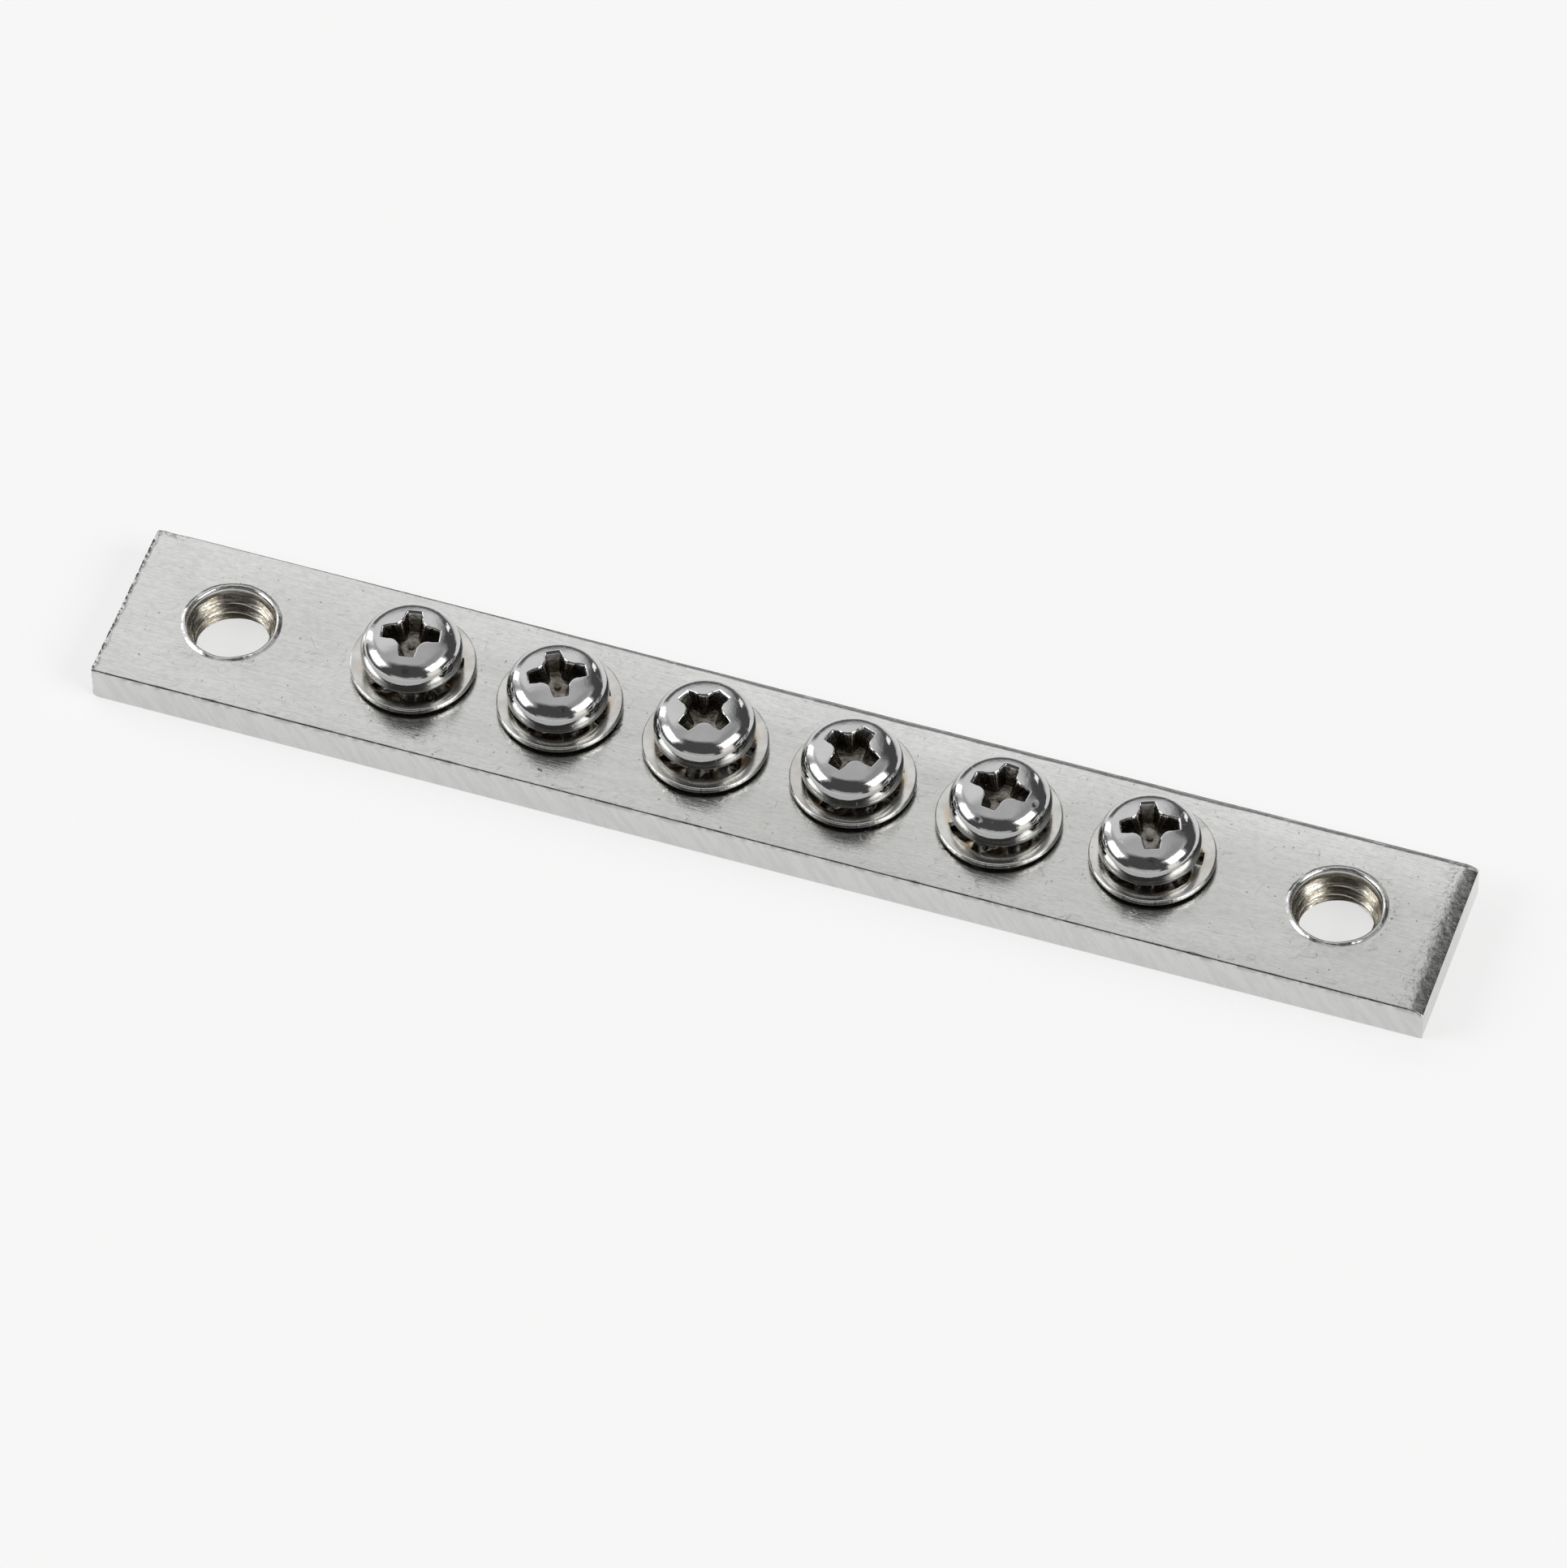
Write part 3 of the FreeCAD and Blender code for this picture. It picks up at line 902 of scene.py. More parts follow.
@dataclass
class TerminalScrew:
    """A pan head screw with a tapered cross recess and an M4 thread."""

    number: int
    seat: Vector
    turn: float
    shank_end: float
    head_radius: float = 3.5
    head_height: float = 2.6
    crown_radius: float = 9.0
    shoulder_round: float = 1.5
    bearing_round: float = 0.35
    recess_depth: float = 1.7
    rim_round: float = 0.09
    point_radius: float = 0.3
    point_depth: float = 0.12
    neck_radius: float = 1.75
    neck_length: float = 0.75
    tip_chamfer: float = 0.35
    point_levels: tuple[float, ...] = (0.02, 0.35, 0.7, 1.0)
    floor_shares: tuple[float, ...] = (0.5, 1.0)
    wall_shares: tuple[float, ...] = (0.8, 0.6, 0.4, 0.25, 0.12, 0.0)
    rim_angles: tuple[float, ...] = (22.0, 45.0, 68.0, 90.0)
    crown_shares: tuple[float, ...] = (0.06, 0.14, 0.25, 0.38, 0.52, 0.68, 0.84, 1.0)
    side_shares: tuple[float, ...] = (0.25, 0.5, 0.75)
    shoulder_steps: int = 24
    bearing_steps: int = 9
    rim_rounds: int = 6
    bright_rows: int = 3
    grime_and_shade_slope: float = 1.6
    dent_fall: float = 0.5
    sharp_angle: float = 34.0
    dents: tuple[Dent, ...] = ()
    thread: ThreadForm = ThreadForm(crest=1.98, root=1.58, pitch=0.7, flank_steps=3)
    mouth: RecessOutline = RecessOutline(2.1, 1.0, 1.24, 1.55, 1.22)
    floor: RecessOutline = RecessOutline(1.35, 0.66, 0.8, 0.92, 0.7)

    def crown_height(self, radius: np.ndarray | float) -> np.ndarray | float:
        """Height of the crown at a distance from the axis."""
        return self.head_height - self.crown_radius + np.sqrt(self.crown_radius ** 2 - radius ** 2)

    def wall_point(self, share: np.ndarray | float) -> np.ndarray:
        """The recess wall at a share of its depth, as X and Y."""
        share = np.asarray(share, float).reshape(-1, 1)
        return self.mouth.points() * (1.0 - share) + self.floor.points() * share

    def rim_share(self) -> np.ndarray:
        """Share of the recess depth at which its wall meets the crown, column by column."""
        share = np.zeros(len(self.mouth.points()))
        for _ in range(self.rim_rounds):
            reach = np.linalg.norm(self.wall_point(share), axis=1)
            share = (self.head_height - self.crown_height(reach)) / self.recess_depth
        return share

    def recess_rows(self, rim: np.ndarray) -> list[np.ndarray]:
        """The floor, the wall and the rounded rim of the recess, from the middle outwards.

        Args:
            rim: Where the wall meets the crown, as shares of the depth.

        Returns:
            Rows of points.
        """
        floor_height = self.head_height - self.recess_depth
        lowest = self.floor.points()
        spokes = lowest / np.linalg.norm(lowest, axis=1, keepdims=True)
        rows = []
        for share in self.point_levels:
            height = floor_height - self.point_depth * (1.0 - share)
            plan = spokes * self.point_radius * share
            rows.append(np.column_stack([plan, np.full(len(lowest), height)]))
        for share in self.floor_shares:
            plan = spokes * self.point_radius * (1.0 - share) + lowest * share
            rows.append(np.column_stack([plan, np.full(len(lowest), floor_height)]))
        drop = self.rim_round / self.recess_depth
        for share in self.wall_shares:
            depth = (rim + drop) + (1.0 - rim - drop) * share
            height = self.head_height - depth * self.recess_depth
            rows.append(np.column_stack([self.wall_point(depth), height]))
        edge = self.wall_point(rim)
        away = outward(edge)
        for angle in self.rim_angles:
            turn = math.radians(angle)
            plan = edge + away * self.rim_round * (1.0 - math.cos(turn))
            crown = self.crown_height(np.linalg.norm(plan, axis=1))
            rows.append(np.column_stack([plan, crown - self.rim_round * (1.0 - math.sin(turn))]))
        return rows

    def head_rows(self, start: np.ndarray) -> list[np.ndarray]:
        """The crown, the shoulder, the side and the underside of the head.

        Args:
            start: The row that the crown starts from.

        Returns:
            Rows of points.
        """
        across = self.head_radius - self.shoulder_round
        centre_height = self.head_height - self.crown_radius
        centre_height += math.sqrt((self.crown_radius - self.shoulder_round) ** 2 - across ** 2)
        first = math.atan2(centre_height - (self.head_height - self.crown_radius), across)
        crown_edge = self.crown_radius * math.cos(first)
        plan = start[:, :2]
        reach = np.linalg.norm(plan, axis=1, keepdims=True)
        spokes = plan / reach
        rows = []
        for share in self.crown_shares:
            distance = reach[:, 0] + (crown_edge - reach[:, 0]) * share
            rows.append(np.column_stack([spokes * distance[:, None], self.crown_height(distance)]))
        profile = []
        for angle in np.linspace(first, 0.0, self.shoulder_steps + 1)[1:]:
            profile.append((
                across + self.shoulder_round * math.cos(angle),
                centre_height + self.shoulder_round * math.sin(angle),
            ))
        for share in self.side_shares:
            height = centre_height + (self.bearing_round - centre_height) * share
            profile.append((self.head_radius, height))
        for angle in np.linspace(0.0, -QUARTER_CIRCLE, self.bearing_steps + 1):
            profile.append((
                self.head_radius - self.bearing_round * (1.0 - math.cos(angle)),
                self.bearing_round * (1.0 + math.sin(angle)),
            ))
        profile.append((0.5 * (self.head_radius + self.neck_radius), 0.0))
        for radius, height in profile:
            rows.append(np.column_stack([spokes * radius, np.full(len(spokes), height)]))
        return rows

    def dented(self, rows: np.ndarray) -> tuple[np.ndarray, np.ndarray]:
        """The head's rows, pushed in at its dents.

        Args:
            rows: Rows of points.

        Returns:
            The rows with dents, and how much each point belongs to one.
        """
        scuff = np.zeros(rows.shape[:2])
        for dent in self.dents:
            turn = math.radians(dent.azimuth - self.turn)
            spoke = np.array([math.cos(turn), math.sin(turn), 0.0])
            place = spoke * dent.reach + np.array([0.0, 0.0, dent.height])
            away = np.linalg.norm(rows - place, axis=2)
            share = np.exp(-((away / dent.size) ** 2))
            rows = rows - dent.depth * share[:, :, None] * (spoke + np.array([0.0, 0.0, self.dent_fall]))
            scuff = np.maximum(scuff, share)
        return rows, scuff

    def add_shank(self, draft: MeshDraft, last_row: np.ndarray) -> None:
        """Adds the neck, the thread and the tip, with every second column of the head.

        Args:
            draft: The screw's draft.
            last_row: The head's last row, on its underside.
        """
        count = len(last_row) // 2
        turns = np.unwrap(np.arctan2(last_row[::2, 1], last_row[::2, 0]))
        angles = np.append(turns, turns[0] + FULL_CIRCLE)
        heights = self.thread.helix_rows(self.shank_end, -self.neck_length, 0.0, angles)
        depth = self.thread.depth_share(heights, angles, 0.0)
        into = smooth_share((-heights - self.neck_length) / (0.5 * self.thread.pitch))
        radii = self.neck_radius + (self.thread.radii(depth) - self.neck_radius) * into
        tip = self.thread.crest - self.tip_chamfer + (heights - self.shank_end)
        radii = np.minimum(radii, tip)
        first_outer = draft.add_points(last_row, {})
        neck_heights = np.array([0.0, -0.5 * self.neck_length, -self.neck_length])
        neck = circle_rows(np.full(len(neck_heights), self.neck_radius), neck_heights, turns)
        first_inner = draft.add_points(neck[0], {})
        faces: list[tuple[int, ...]] = []
        inner = first_inner - first_outer
        for number in range(count):
            after = (number + 1) % count
            left, middle, right = 2 * number, 2 * number + 1, (2 * number + 2) % (2 * count)
            faces.append((left, middle, inner + number))
            faces.append((middle, right, inner + after, inner + number))
        draft.add_faces(first_outer, faces)
        draft.add_grid(neck, flip=True)
        rows = circle_rows(radii, heights, angles)
        draft.add_grid(rows, {Mask.GROOVE: depth, Mask.THREAD: into}, closed=False)
        end = draft.add_points(rows[0][:-1], {})
        middle = draft.add_points(np.array([[0.0, 0.0, self.shank_end]]), {})
        draft.add_faces(end, [(number, (number + 1) % count, middle - end) for number in range(count)])

    def build(self) -> bpy.types.Object:
        """Builds the screw at its place in the bar.

        Returns:
            The screw as one object.
        """
        draft = MeshDraft((Mask.THREAD, Mask.GROOVE, Mask.RECESS, Mask.SCUFF))
        recess = self.recess_rows(self.rim_share())
        head = self.head_rows(recess[-1])
        rows, scuff = self.dented(np.array(recess + head))
        crown = self.crown_height(np.linalg.norm(rows[:, :, :2], axis=2))
        # The recess darkens with depth below the crown: its brown oxide, and painted shade deeper in. The rim
        # rows stay out of it.
        below = (crown - rows[:, :, 2]) / self.recess_depth
        inside = np.arange(len(rows)) < len(recess) - self.bright_rows
        deep = smooth_share(below * self.grime_and_shade_slope) * inside[:, None]
        draft.add_grid(rows, {Mask.RECESS: deep, Mask.SCUFF: scuff})
        lowest = self.head_height - self.recess_depth - self.point_depth
        first = draft.add_points(rows[0], {Mask.RECESS: 1.0})
        middle = draft.add_points(np.array([[0.0, 0.0, lowest]]), {Mask.RECESS: 1.0})
        count = rows.shape[1]
        draft.add_faces(first, [(number, (number + 1) % count, middle - first) for number in range(count)])
        self.add_shank(draft, rows[-1])
        draft.moved(self.seat, self.turn)
        return draft.build(f"clamp_screw_{self.number}", self.sharp_angle)


@dataclass
class LockWasher:
    """A stamped lock washer whose inner teeth are twisted out of its plane."""

    number: int
    centre: Vector
    turn: float
    radius: float = 4.33
    inner_radius: float = 3.45
    thickness: float = 0.45
    edge_round: float = 0.13
    tooth_count: int = 8
    tooth_root_width: float = 1.6
    tooth_tip_width: float = 1.1
    tooth_tip_radius: float = 2.25
    tooth_twist: float = 35.0
    neck_share: float = 0.18
    tooth_steps: int = 8
    gap_steps: int = 6
    reach_steps: int = 6
    edge_bevel: float = 0.055
    stain_width: float = 0.35
    stain_steps: int = 4
    rim_band: float = 0.05
    rim_steps: int = 7
    bevel_segments: int = 2
    bevel_angle: float = 50.0
    sharp_angle: float = 32.0

    def root_angle(self) -> float:
        """Half the angle that a tooth takes of the ring's inner edge."""
        return math.asin(0.5 * self.tooth_root_width / self.inner_radius)

    def column_angles(self) -> np.ndarray:
        """Angles of all columns round the ring, tooth by tooth."""
        half = self.root_angle()
        sector = FULL_CIRCLE / self.tooth_count
        tooth = np.linspace(-half, half, self.tooth_steps + 1)
        gap = np.linspace(half, sector - half, self.gap_steps + 1)[1:-1]
        one = np.concatenate([tooth, gap])
        return np.concatenate([one + sector * number for number in range(self.tooth_count)])

    def add_ring(self, draft: MeshDraft) -> None:
        """Adds the ring's faces, apart from its inner edge.

        Args:
            draft: The piece's draft.
        """
        half = 0.5 * self.thickness
        rim_start = self.radius - self.edge_round
        shares = np.linspace(0.0, 1.0, self.stain_steps + 1)
        profile = [(self.inner_radius + self.stain_width * share, half) for share in shares]
        profile += [(rim_start - self.rim_band, half), (rim_start, half)]
        for turn in np.linspace(QUARTER_CIRCLE, 0.0, self.rim_steps + 1)[1:]:
            profile.append((
                self.radius - self.edge_round * (1.0 - math.cos(turn)),
                half - self.edge_round * (1.0 - math.sin(turn)),
            ))
        profile += [(radius, -height) for radius, height in reversed(profile)]
        radii = np.array([radius for radius, _ in profile])
        heights = np.array([height for _, height in profile])
        angles = self.column_angles()
        rim = smooth_share((radii - rim_start) / self.edge_round)
        inner = 1.0 - smooth_share((radii - self.inner_radius) / self.stain_width)
        shape = (len(radii), len(angles))
        values = {
            Mask.RIM: np.broadcast_to(rim[:, None], shape),
            Mask.INNER: np.broadcast_to(inner[:, None], shape),
            Mask.SPOKE_X: np.broadcast_to(np.cos(angles), shape),
            Mask.SPOKE_Y: np.broadcast_to(np.sin(angles), shape),
        }
        draft.add_grid(circle_rows(radii, heights, angles), values, flip=True)

    def tooth_point(
        self, side: float, reach: float, height: float, start: float,
    ) -> tuple[float, float, float]:
        """A point of a tooth.

        Args:
            side: From -1 to 1 across the tooth.
            reach: From 0 at the ring to 1 at the tip.
            height: Above or below the middle of the sheet.
            start: The tooth's own angle round the ring.

        Returns:
            The point's X, Y and Z.
        """
        angle = side * self.root_angle()
        root = (self.inner_radius * math.cos(angle), self.inner_radius * math.sin(angle))
        outwards = root[0] + (self.tooth_tip_radius - root[0]) * reach
        across = root[1] + (0.5 * self.tooth_tip_width * side - root[1]) * reach
        twisted = max(0.0, (reach - self.neck_share) / (1.0 - self.neck_share))
        twist = math.radians(self.tooth_twist) * twisted
        aside = across * math.cos(twist) - height * math.sin(twist)
        up = across * math.sin(twist) + height * math.cos(twist)
        return (
            outwards * math.cos(start) - aside * math.sin(start),
            outwards * math.sin(start) + aside * math.cos(start),
            up,
        )

    def add_tooth(self, draft: MeshDraft, start: float) -> None:
        """Adds one twisted tooth and the edge of the ring beside it.

        Args:
            draft: The washer's draft.
            start: The tooth's own angle round the ring.
        """
        half = 0.5 * self.thickness
        sides = np.linspace(-1.0, 1.0, self.tooth_steps + 1)
        reaches = np.linspace(0.0, 1.0, self.reach_steps + 1)
        for height, flip in ((half, False), (-half, True)):
            rows = [
                [self.tooth_point(side, reach, height, start) for side in sides]
                for reach in reaches
            ]
            draft.add_grid(np.array(rows), {Mask.INNER: 1.0}, closed=False, flip=flip)
        for side in (-1.0, 1.0):
            lower = [self.tooth_point(side, reach, -half, start) for reach in reaches]
            upper = [self.tooth_point(side, reach, half, start) for reach in reaches]
            draft.add_grid(np.array([lower, upper]), closed=False, flip=side < 0.0)
        rows = [[self.tooth_point(side, 1.0, height, start) for side in sides] for height in (-half, half)]
        draft.add_grid(np.array(rows), closed=False)
        sector = FULL_CIRCLE / self.tooth_count
        angles = start + np.linspace(self.root_angle(), sector - self.root_angle(), self.gap_steps + 1)
        radii = np.array([self.inner_radius, self.inner_radius])
        draft.add_grid(circle_rows(radii, np.array([-half, half]), angles), closed=False)

    def build(self) -> bpy.types.Object:
        """Builds the washer under its screw.

        Returns:
            The washer as one object.
        """
        draft = MeshDraft((Mask.RIM, Mask.INNER, Mask.SPOKE_X, Mask.SPOKE_Y))
        self.add_ring(draft)
        for number in range(self.tooth_count):
            self.add_tooth(draft, FULL_CIRCLE * number / self.tooth_count)
        draft.moved(self.centre, self.turn)
        piece = draft.build(f"toothed_washer_{self.number}", self.sharp_angle)
        bevel = piece.modifiers.new("stamped_edge", "BEVEL")
        bevel.width = self.edge_bevel * MM
        bevel.segments = self.bevel_segments
        bevel.limit_method = "ANGLE"
        bevel.angle_limit = math.radians(self.bevel_angle)
        bevel.harden_normals = True
        return piece


@dataclass(frozen=True)
class Span:
    """The ends between which a number fades, and what it fades from and to."""

    low: float
    high: float
    first: float = 0.0
    last: float = 1.0


@dataclass(frozen=True)
class Clouds:
    """Soft noise: its scale, detail and roughness, how it is stretched and where it fades."""

    scale: Value
    detail: float = 2.0
    roughness: float = 0.5
    stretch: tuple[float, float, float] | None = None
    span: Span | None = None


class Graph:
    """Short calls that add nodes to a tree and join them."""

    def __init__(self, tree: bpy.types.NodeTree) -> None:
        """Works on that tree."""
        self.tree = tree

    def node(self, kind: str, **settings: object) -> bpy.types.Node:
        """Adds a node.

        Args:
            kind: The node's type name after ShaderNode.
            settings: Properties of the node.

        Returns:
            The node.
        """
        made = self.tree.nodes.new(f"ShaderNode{kind}")
        for name, value in settings.items():
            setattr(made, name, value)
        return made

    def feed(self, socket: Socket, value: Value) -> None:
        """Joins a socket to another, or sets it.

        Args:
            socket: The socket that takes the value.
            value: A socket, or a plain value.
        """
        if isinstance(value, Socket):
            self.tree.links.new(value, socket)
        else:
            socket.default_value = value

    def maths(self, operation: str, first: Value, second: Value = 0.0, clamp: bool = False) -> Socket:
        """One or two numbers under an operation, held between 0 and 1 if clamp is set.

        Args:
            operation: The operation's name.
            first: A number.
            second: Another.
            clamp: Whether the result is held between 0 and 1.

        Returns:
            The result.
        """
        made = self.node("Math", operation=operation, use_clamp=clamp)
        self.feed(made.inputs[0], first)
        self.feed(made.inputs[1], second)
        return made.outputs[0]

    def chain(self, operation: str, given: tuple[Value, ...]) -> Value:
        """Numbers under an operation, taken one after another.

        Args:
            operation: The operation's name.
            given: The numbers.

        Returns:
            The result.
        """
        result, *others = given
        for other in others:
            result = self.maths(operation, result, other)
        return result

    def times(self, *given: Value) -> Value:
        """The product of numbers."""
        return self.chain("MULTIPLY", given)

    def plus(self, *given: Value) -> Value:
        """The sum of numbers."""
        return self.chain("ADD", given)

    def minus(self, *given: Value) -> Value:
        """The first number less the others."""
        return self.chain("SUBTRACT", given)

    def either(self, first: Value, second: Value) -> Socket:
        """Two masks together, held at 1."""
        return self.maths("ADD", first, second, clamp=True)

    def ramp(self, value: Value, low: Value, high: Value, first: Value = 0.0, last: Value = 1.0) -> Socket:
        """A number moved smoothly from one span to another.

        Args:
            value: The number.
            low: Where the change begins.
            high: Where it ends.
            first: The result before it.
            last: The result after it.

        Returns:
            The result.
        """
        made = self.node("MapRange", interpolation_type="SMOOTHSTEP")
        names = ("Value", "From Min", "From Max", "To Min", "To Max")
        for name, given in zip(names, (value, low, high, first, last)):
            self.feed(made.inputs[name], given)
        return made.outputs["Result"]

    def fade(self, value: Value, span: Span) -> Socket:
        """A number faded along a span."""
        return self.ramp(value, span.low, span.high, span.first, span.last)

    def blend(self, share: Value, first: Value, second: Value) -> Socket:
        """A colour between two colours.

        Args:
            share: How much of the second.
            first: A colour.
            second: Another.

        Returns:
            The mixed colour.
        """
        made = self.node("Mix", data_type="RGBA", clamp_factor=True)
        colours = [socket for socket in made.inputs if socket.type == "RGBA"]
        self.feed(made.inputs[0], share)
        self.feed(colours[0], first)
        self.feed(colours[1], second)
        return next(socket for socket in made.outputs if socket.type == "RGBA")

    def vectors(self, operation: str, *given: Value) -> bpy.types.Node:
        """An operation on vectors, which are given in order.

        Args:
            operation: The operation's name.
            given: The vectors.

        Returns:
            The operation's node.
        """
        made = self.node("VectorMath", operation=operation)
        for socket, value in zip(made.inputs, given):
            self.feed(socket, value)
        return made

    def grown(self, vector: Value, scale: Value) -> Socket:
        """A vector times a number.

        Args:
            vector: The vector.
            scale: The number.

        Returns:
            The product.
        """
        made = self.vectors("SCALE", vector)
        self.feed(made.inputs["Scale"], scale)
        return made.outputs[0]

    def scaled(self, vector: Value, scale: Value, turn: Value | None = None) -> Socket:
        """A vector turned and then stretched.

        Args:
            vector: The vector.
            scale: How it is stretched along X, Y and Z.
            turn: How it is turned about them, in radians.

        Returns:
            The vector.
        """
        if turn is not None:
            turned = self.node("VectorRotate", rotation_type="EULER_XYZ")
            self.feed(turned.inputs["Vector"], vector)
            self.feed(turned.inputs["Rotation"], turn)
            vector = turned.outputs[0]
        made = self.node("Mapping", vector_type="POINT")
        self.feed(made.inputs["Vector"], vector)
        self.feed(made.inputs["Scale"], scale)
        return made.outputs[0]

    def joined(self, *parts: Value) -> Socket:
        """A vector of up to three numbers.

        Args:
            parts: The numbers.

        Returns:
            The vector.
        """
        made = self.node("CombineXYZ")
        for socket, part in zip(made.inputs, parts):
            self.feed(socket, part)
        return made.outputs[0]

    def split(self, vector: Value, kind: str = "SeparateXYZ") -> tuple[Socket, ...]:
        """The three parts of a vector, or of a colour with SeparateColor.

        Args:
            vector: The vector or the colour.
            kind: The node that takes it apart.

        Returns:
            The parts.
        """
        made = self.node(kind)
        self.feed(made.inputs[0], vector)
        return tuple(made.outputs)

    def clouds(self, vector: Value, clouds: Clouds) -> Socket:
        """Soft noise from 0 to 1, faded where it has a span.

        Args:
            vector: The place.
            clouds: What the noise is like.

        Returns:
            The noise.
        """
        made = self.node("TexNoise", noise_dimensions="3D")
        stretched = vector if clouds.stretch is None else self.scaled(vector, clouds.stretch)
        self.feed(made.inputs["Vector"], stretched)
        self.feed(made.inputs["Scale"], clouds.scale)
        made.inputs["Detail"].default_value = clouds.detail
        made.inputs["Roughness"].default_value = clouds.roughness
        cloud = made.outputs["Fac"]
        return cloud if clouds.span is None else self.fade(cloud, clouds.span)

    def cells(self, vector: Value, scale: Value) -> bpy.types.Node:
        """A pattern of cells, each round its nearest point.

        Args:
            vector: The place.
            scale: How many cells there are to a millimetre.

        Returns:
            The pattern's node.
        """
        made = self.node("TexVoronoi", feature="F1")
        self.feed(made.inputs["Vector"], vector)
        self.feed(made.inputs["Scale"], scale)
        return made

    def mask(self, mask: Mask) -> Socket:
        """A mask that the mesh carries."""
        return self.node("Attribute", attribute_name=mask.value).outputs["Fac"]

    def apply(self, group: bpy.types.NodeTree, place: Socket, use: object) -> bpy.types.Node:
        """Places a shared effect.

        Args:
            group: The effect's node group.
            place: The surface's own place, in millimetres.
            use: A dataclass whose fields have the names of the group's other inputs.

        Returns:
            The group's node.
        """
        made = self.node("Group", node_tree=group)
        self.feed(made.inputs["Place"], place)
        for value in fields(use):
            self.feed(made.inputs[value.name.capitalize()], getattr(use, value.name))
        return made

    def millimetres(self) -> Socket:
        """The surface's own place, in millimetres."""
        return self.grown(self.node("TexCoord").outputs["Object"], 1.0 / MM)

    def facing(self) -> tuple[Socket, ...]:
        """The X, Y and Z of the way that the surface faces, in its own frame."""
        return self.split(self.node("TexCoord").outputs["Normal"])

    def raise_surface(self, shader: bpy.types.Node, height: Value) -> None:
        """Raises a shader's surface by a height in millimetres.

        Args:
            shader: The shader.
            height: The height.
        """
        made = self.node("Bump")
        made.inputs["Distance"].default_value = MM
        self.feed(made.inputs["Height"], height)
        self.feed(shader.inputs["Normal"], made.outputs[0])


class Kind(Enum):
    """Kinds of socket on a node group."""

    NUMBER = "NodeSocketFloat"
    VECTOR = "NodeSocketVector"
    COLOUR = "NodeSocketColor"


def start_group(
    name: str, inputs: dict[str, Kind], outputs: dict[str, Kind],
) -> tuple[bpy.types.NodeTree, Graph, dict[str, Socket], bpy.types.Node]:
    """Starts a shader node group on the surface's own place.

    Args:
        name: The group's name.
        inputs: The kinds of its other inputs, by name.
        outputs: The kinds of its outputs, by name.

    Returns:
        The group, a graph on it, what it is given by name, and its output node.
    """
    tree = bpy.data.node_groups.new(name, "ShaderNodeTree")
    for socket, kind in {"Place": Kind.VECTOR, **inputs}.items():
        tree.interface.new_socket(socket, in_out="INPUT", socket_type=kind.value)
    for socket, kind in outputs.items():
        tree.interface.new_socket(socket, in_out="OUTPUT", socket_type=kind.value)
    given = {socket.name: socket for socket in tree.nodes.new("NodeGroupInput").outputs if socket.name}
    return tree, Graph(tree), given, tree.nodes.new("NodeGroupOutput")


@dataclass(frozen=True)
class Lines:
    """One use of the brushed lines: their length and width, and how they are turned."""

    length: float
    width: float
    turn: tuple[float, float, float] = (0.0, 0.0, 0.0)


def brushed_lines_group() -> bpy.types.NodeTree:
    """Fine lines left by brushing, all one way, told by how long and how far apart they are.

    Returns:
        A group that gives their height, and a mask of the deeper ones.
    """
    tree, graph, given, result = start_group(
        "brushed_lines", {"Turn": Kind.VECTOR, "Length": Kind.NUMBER, "Width": Kind.NUMBER},
        {"Height": Kind.NUMBER, "Deep": Kind.NUMBER},
    )
    fine, deep = Clouds(1.0, 3.0, 0.6), Clouds(0.6, 1.0, span=Span(0.6, 0.72))
    lengthwise = graph.maths("DIVIDE", 1.0, given["Length"])
    across = graph.maths("DIVIDE", 1.0, given["Width"])
    stretched = graph.scaled(given["Place"], graph.joined(lengthwise, across, across), given["Turn"])
    graph.feed(result.inputs["Height"], graph.clouds(stretched, fine))
    graph.feed(result.inputs["Deep"], graph.clouds(stretched, deep))
    return tree


@dataclass(frozen=True)
class Strokes:
    """One use of the short scratches: their cells, length and width, and how many cells hold one."""

    scale: float
    length: float
    width: float
    share: float


def strokes_group() -> bpy.types.NodeTree:
    """Short bent scratches, one in some of the cells of a pattern, each its own way round.

    Returns:
        A group that gives their mask.
    """
    tree, graph, given, result = start_group(
        "short_strokes",
        {"Scale": Kind.NUMBER, "Length": Kind.NUMBER, "Width": Kind.NUMBER, "Share": Kind.NUMBER},
        {"Mask": Kind.NUMBER},
    )
    bend, least_length, core, taper = 1.6, 0.4, 0.3, 0.6
    sized = graph.grown(given["Place"], given["Scale"])
    cells = graph.cells(sized, 1.0)
    x, y, _ = graph.split(graph.vectors("SUBTRACT", sized, cells.outputs["Position"]).outputs[0])
    way, chance, size = graph.split(cells.outputs["Color"], "SeparateColor")
    angle = graph.times(way, FULL_CIRCLE)
    cosine, sine = graph.maths("COSINE", angle), graph.maths("SINE", angle)
    along = graph.plus(graph.times(x, cosine), graph.times(y, sine))
    across = graph.minus(graph.times(y, cosine), graph.times(x, sine))
    bow = graph.times(along, along, graph.minus(size, 0.5), bend)
    across = graph.maths("ABSOLUTE", graph.plus(across, bow))
    reach = graph.times(given["Length"], graph.plus(size, least_length))
    thin = graph.ramp(across, given["Width"], graph.times(given["Width"], core))
    inside = graph.ramp(graph.maths("ABSOLUTE", along), reach, graph.times(reach, taper))
    chosen = graph.maths("LESS_THAN", chance, given["Share"])
    graph.feed(result.inputs["Mask"], graph.times(thin, inside, chosen))
    return tree


@dataclass(frozen=True)
class Specks:
    """One use of the specks: their cells and size, and how many cells hold one."""

    scale: float
    size: float
    share: float


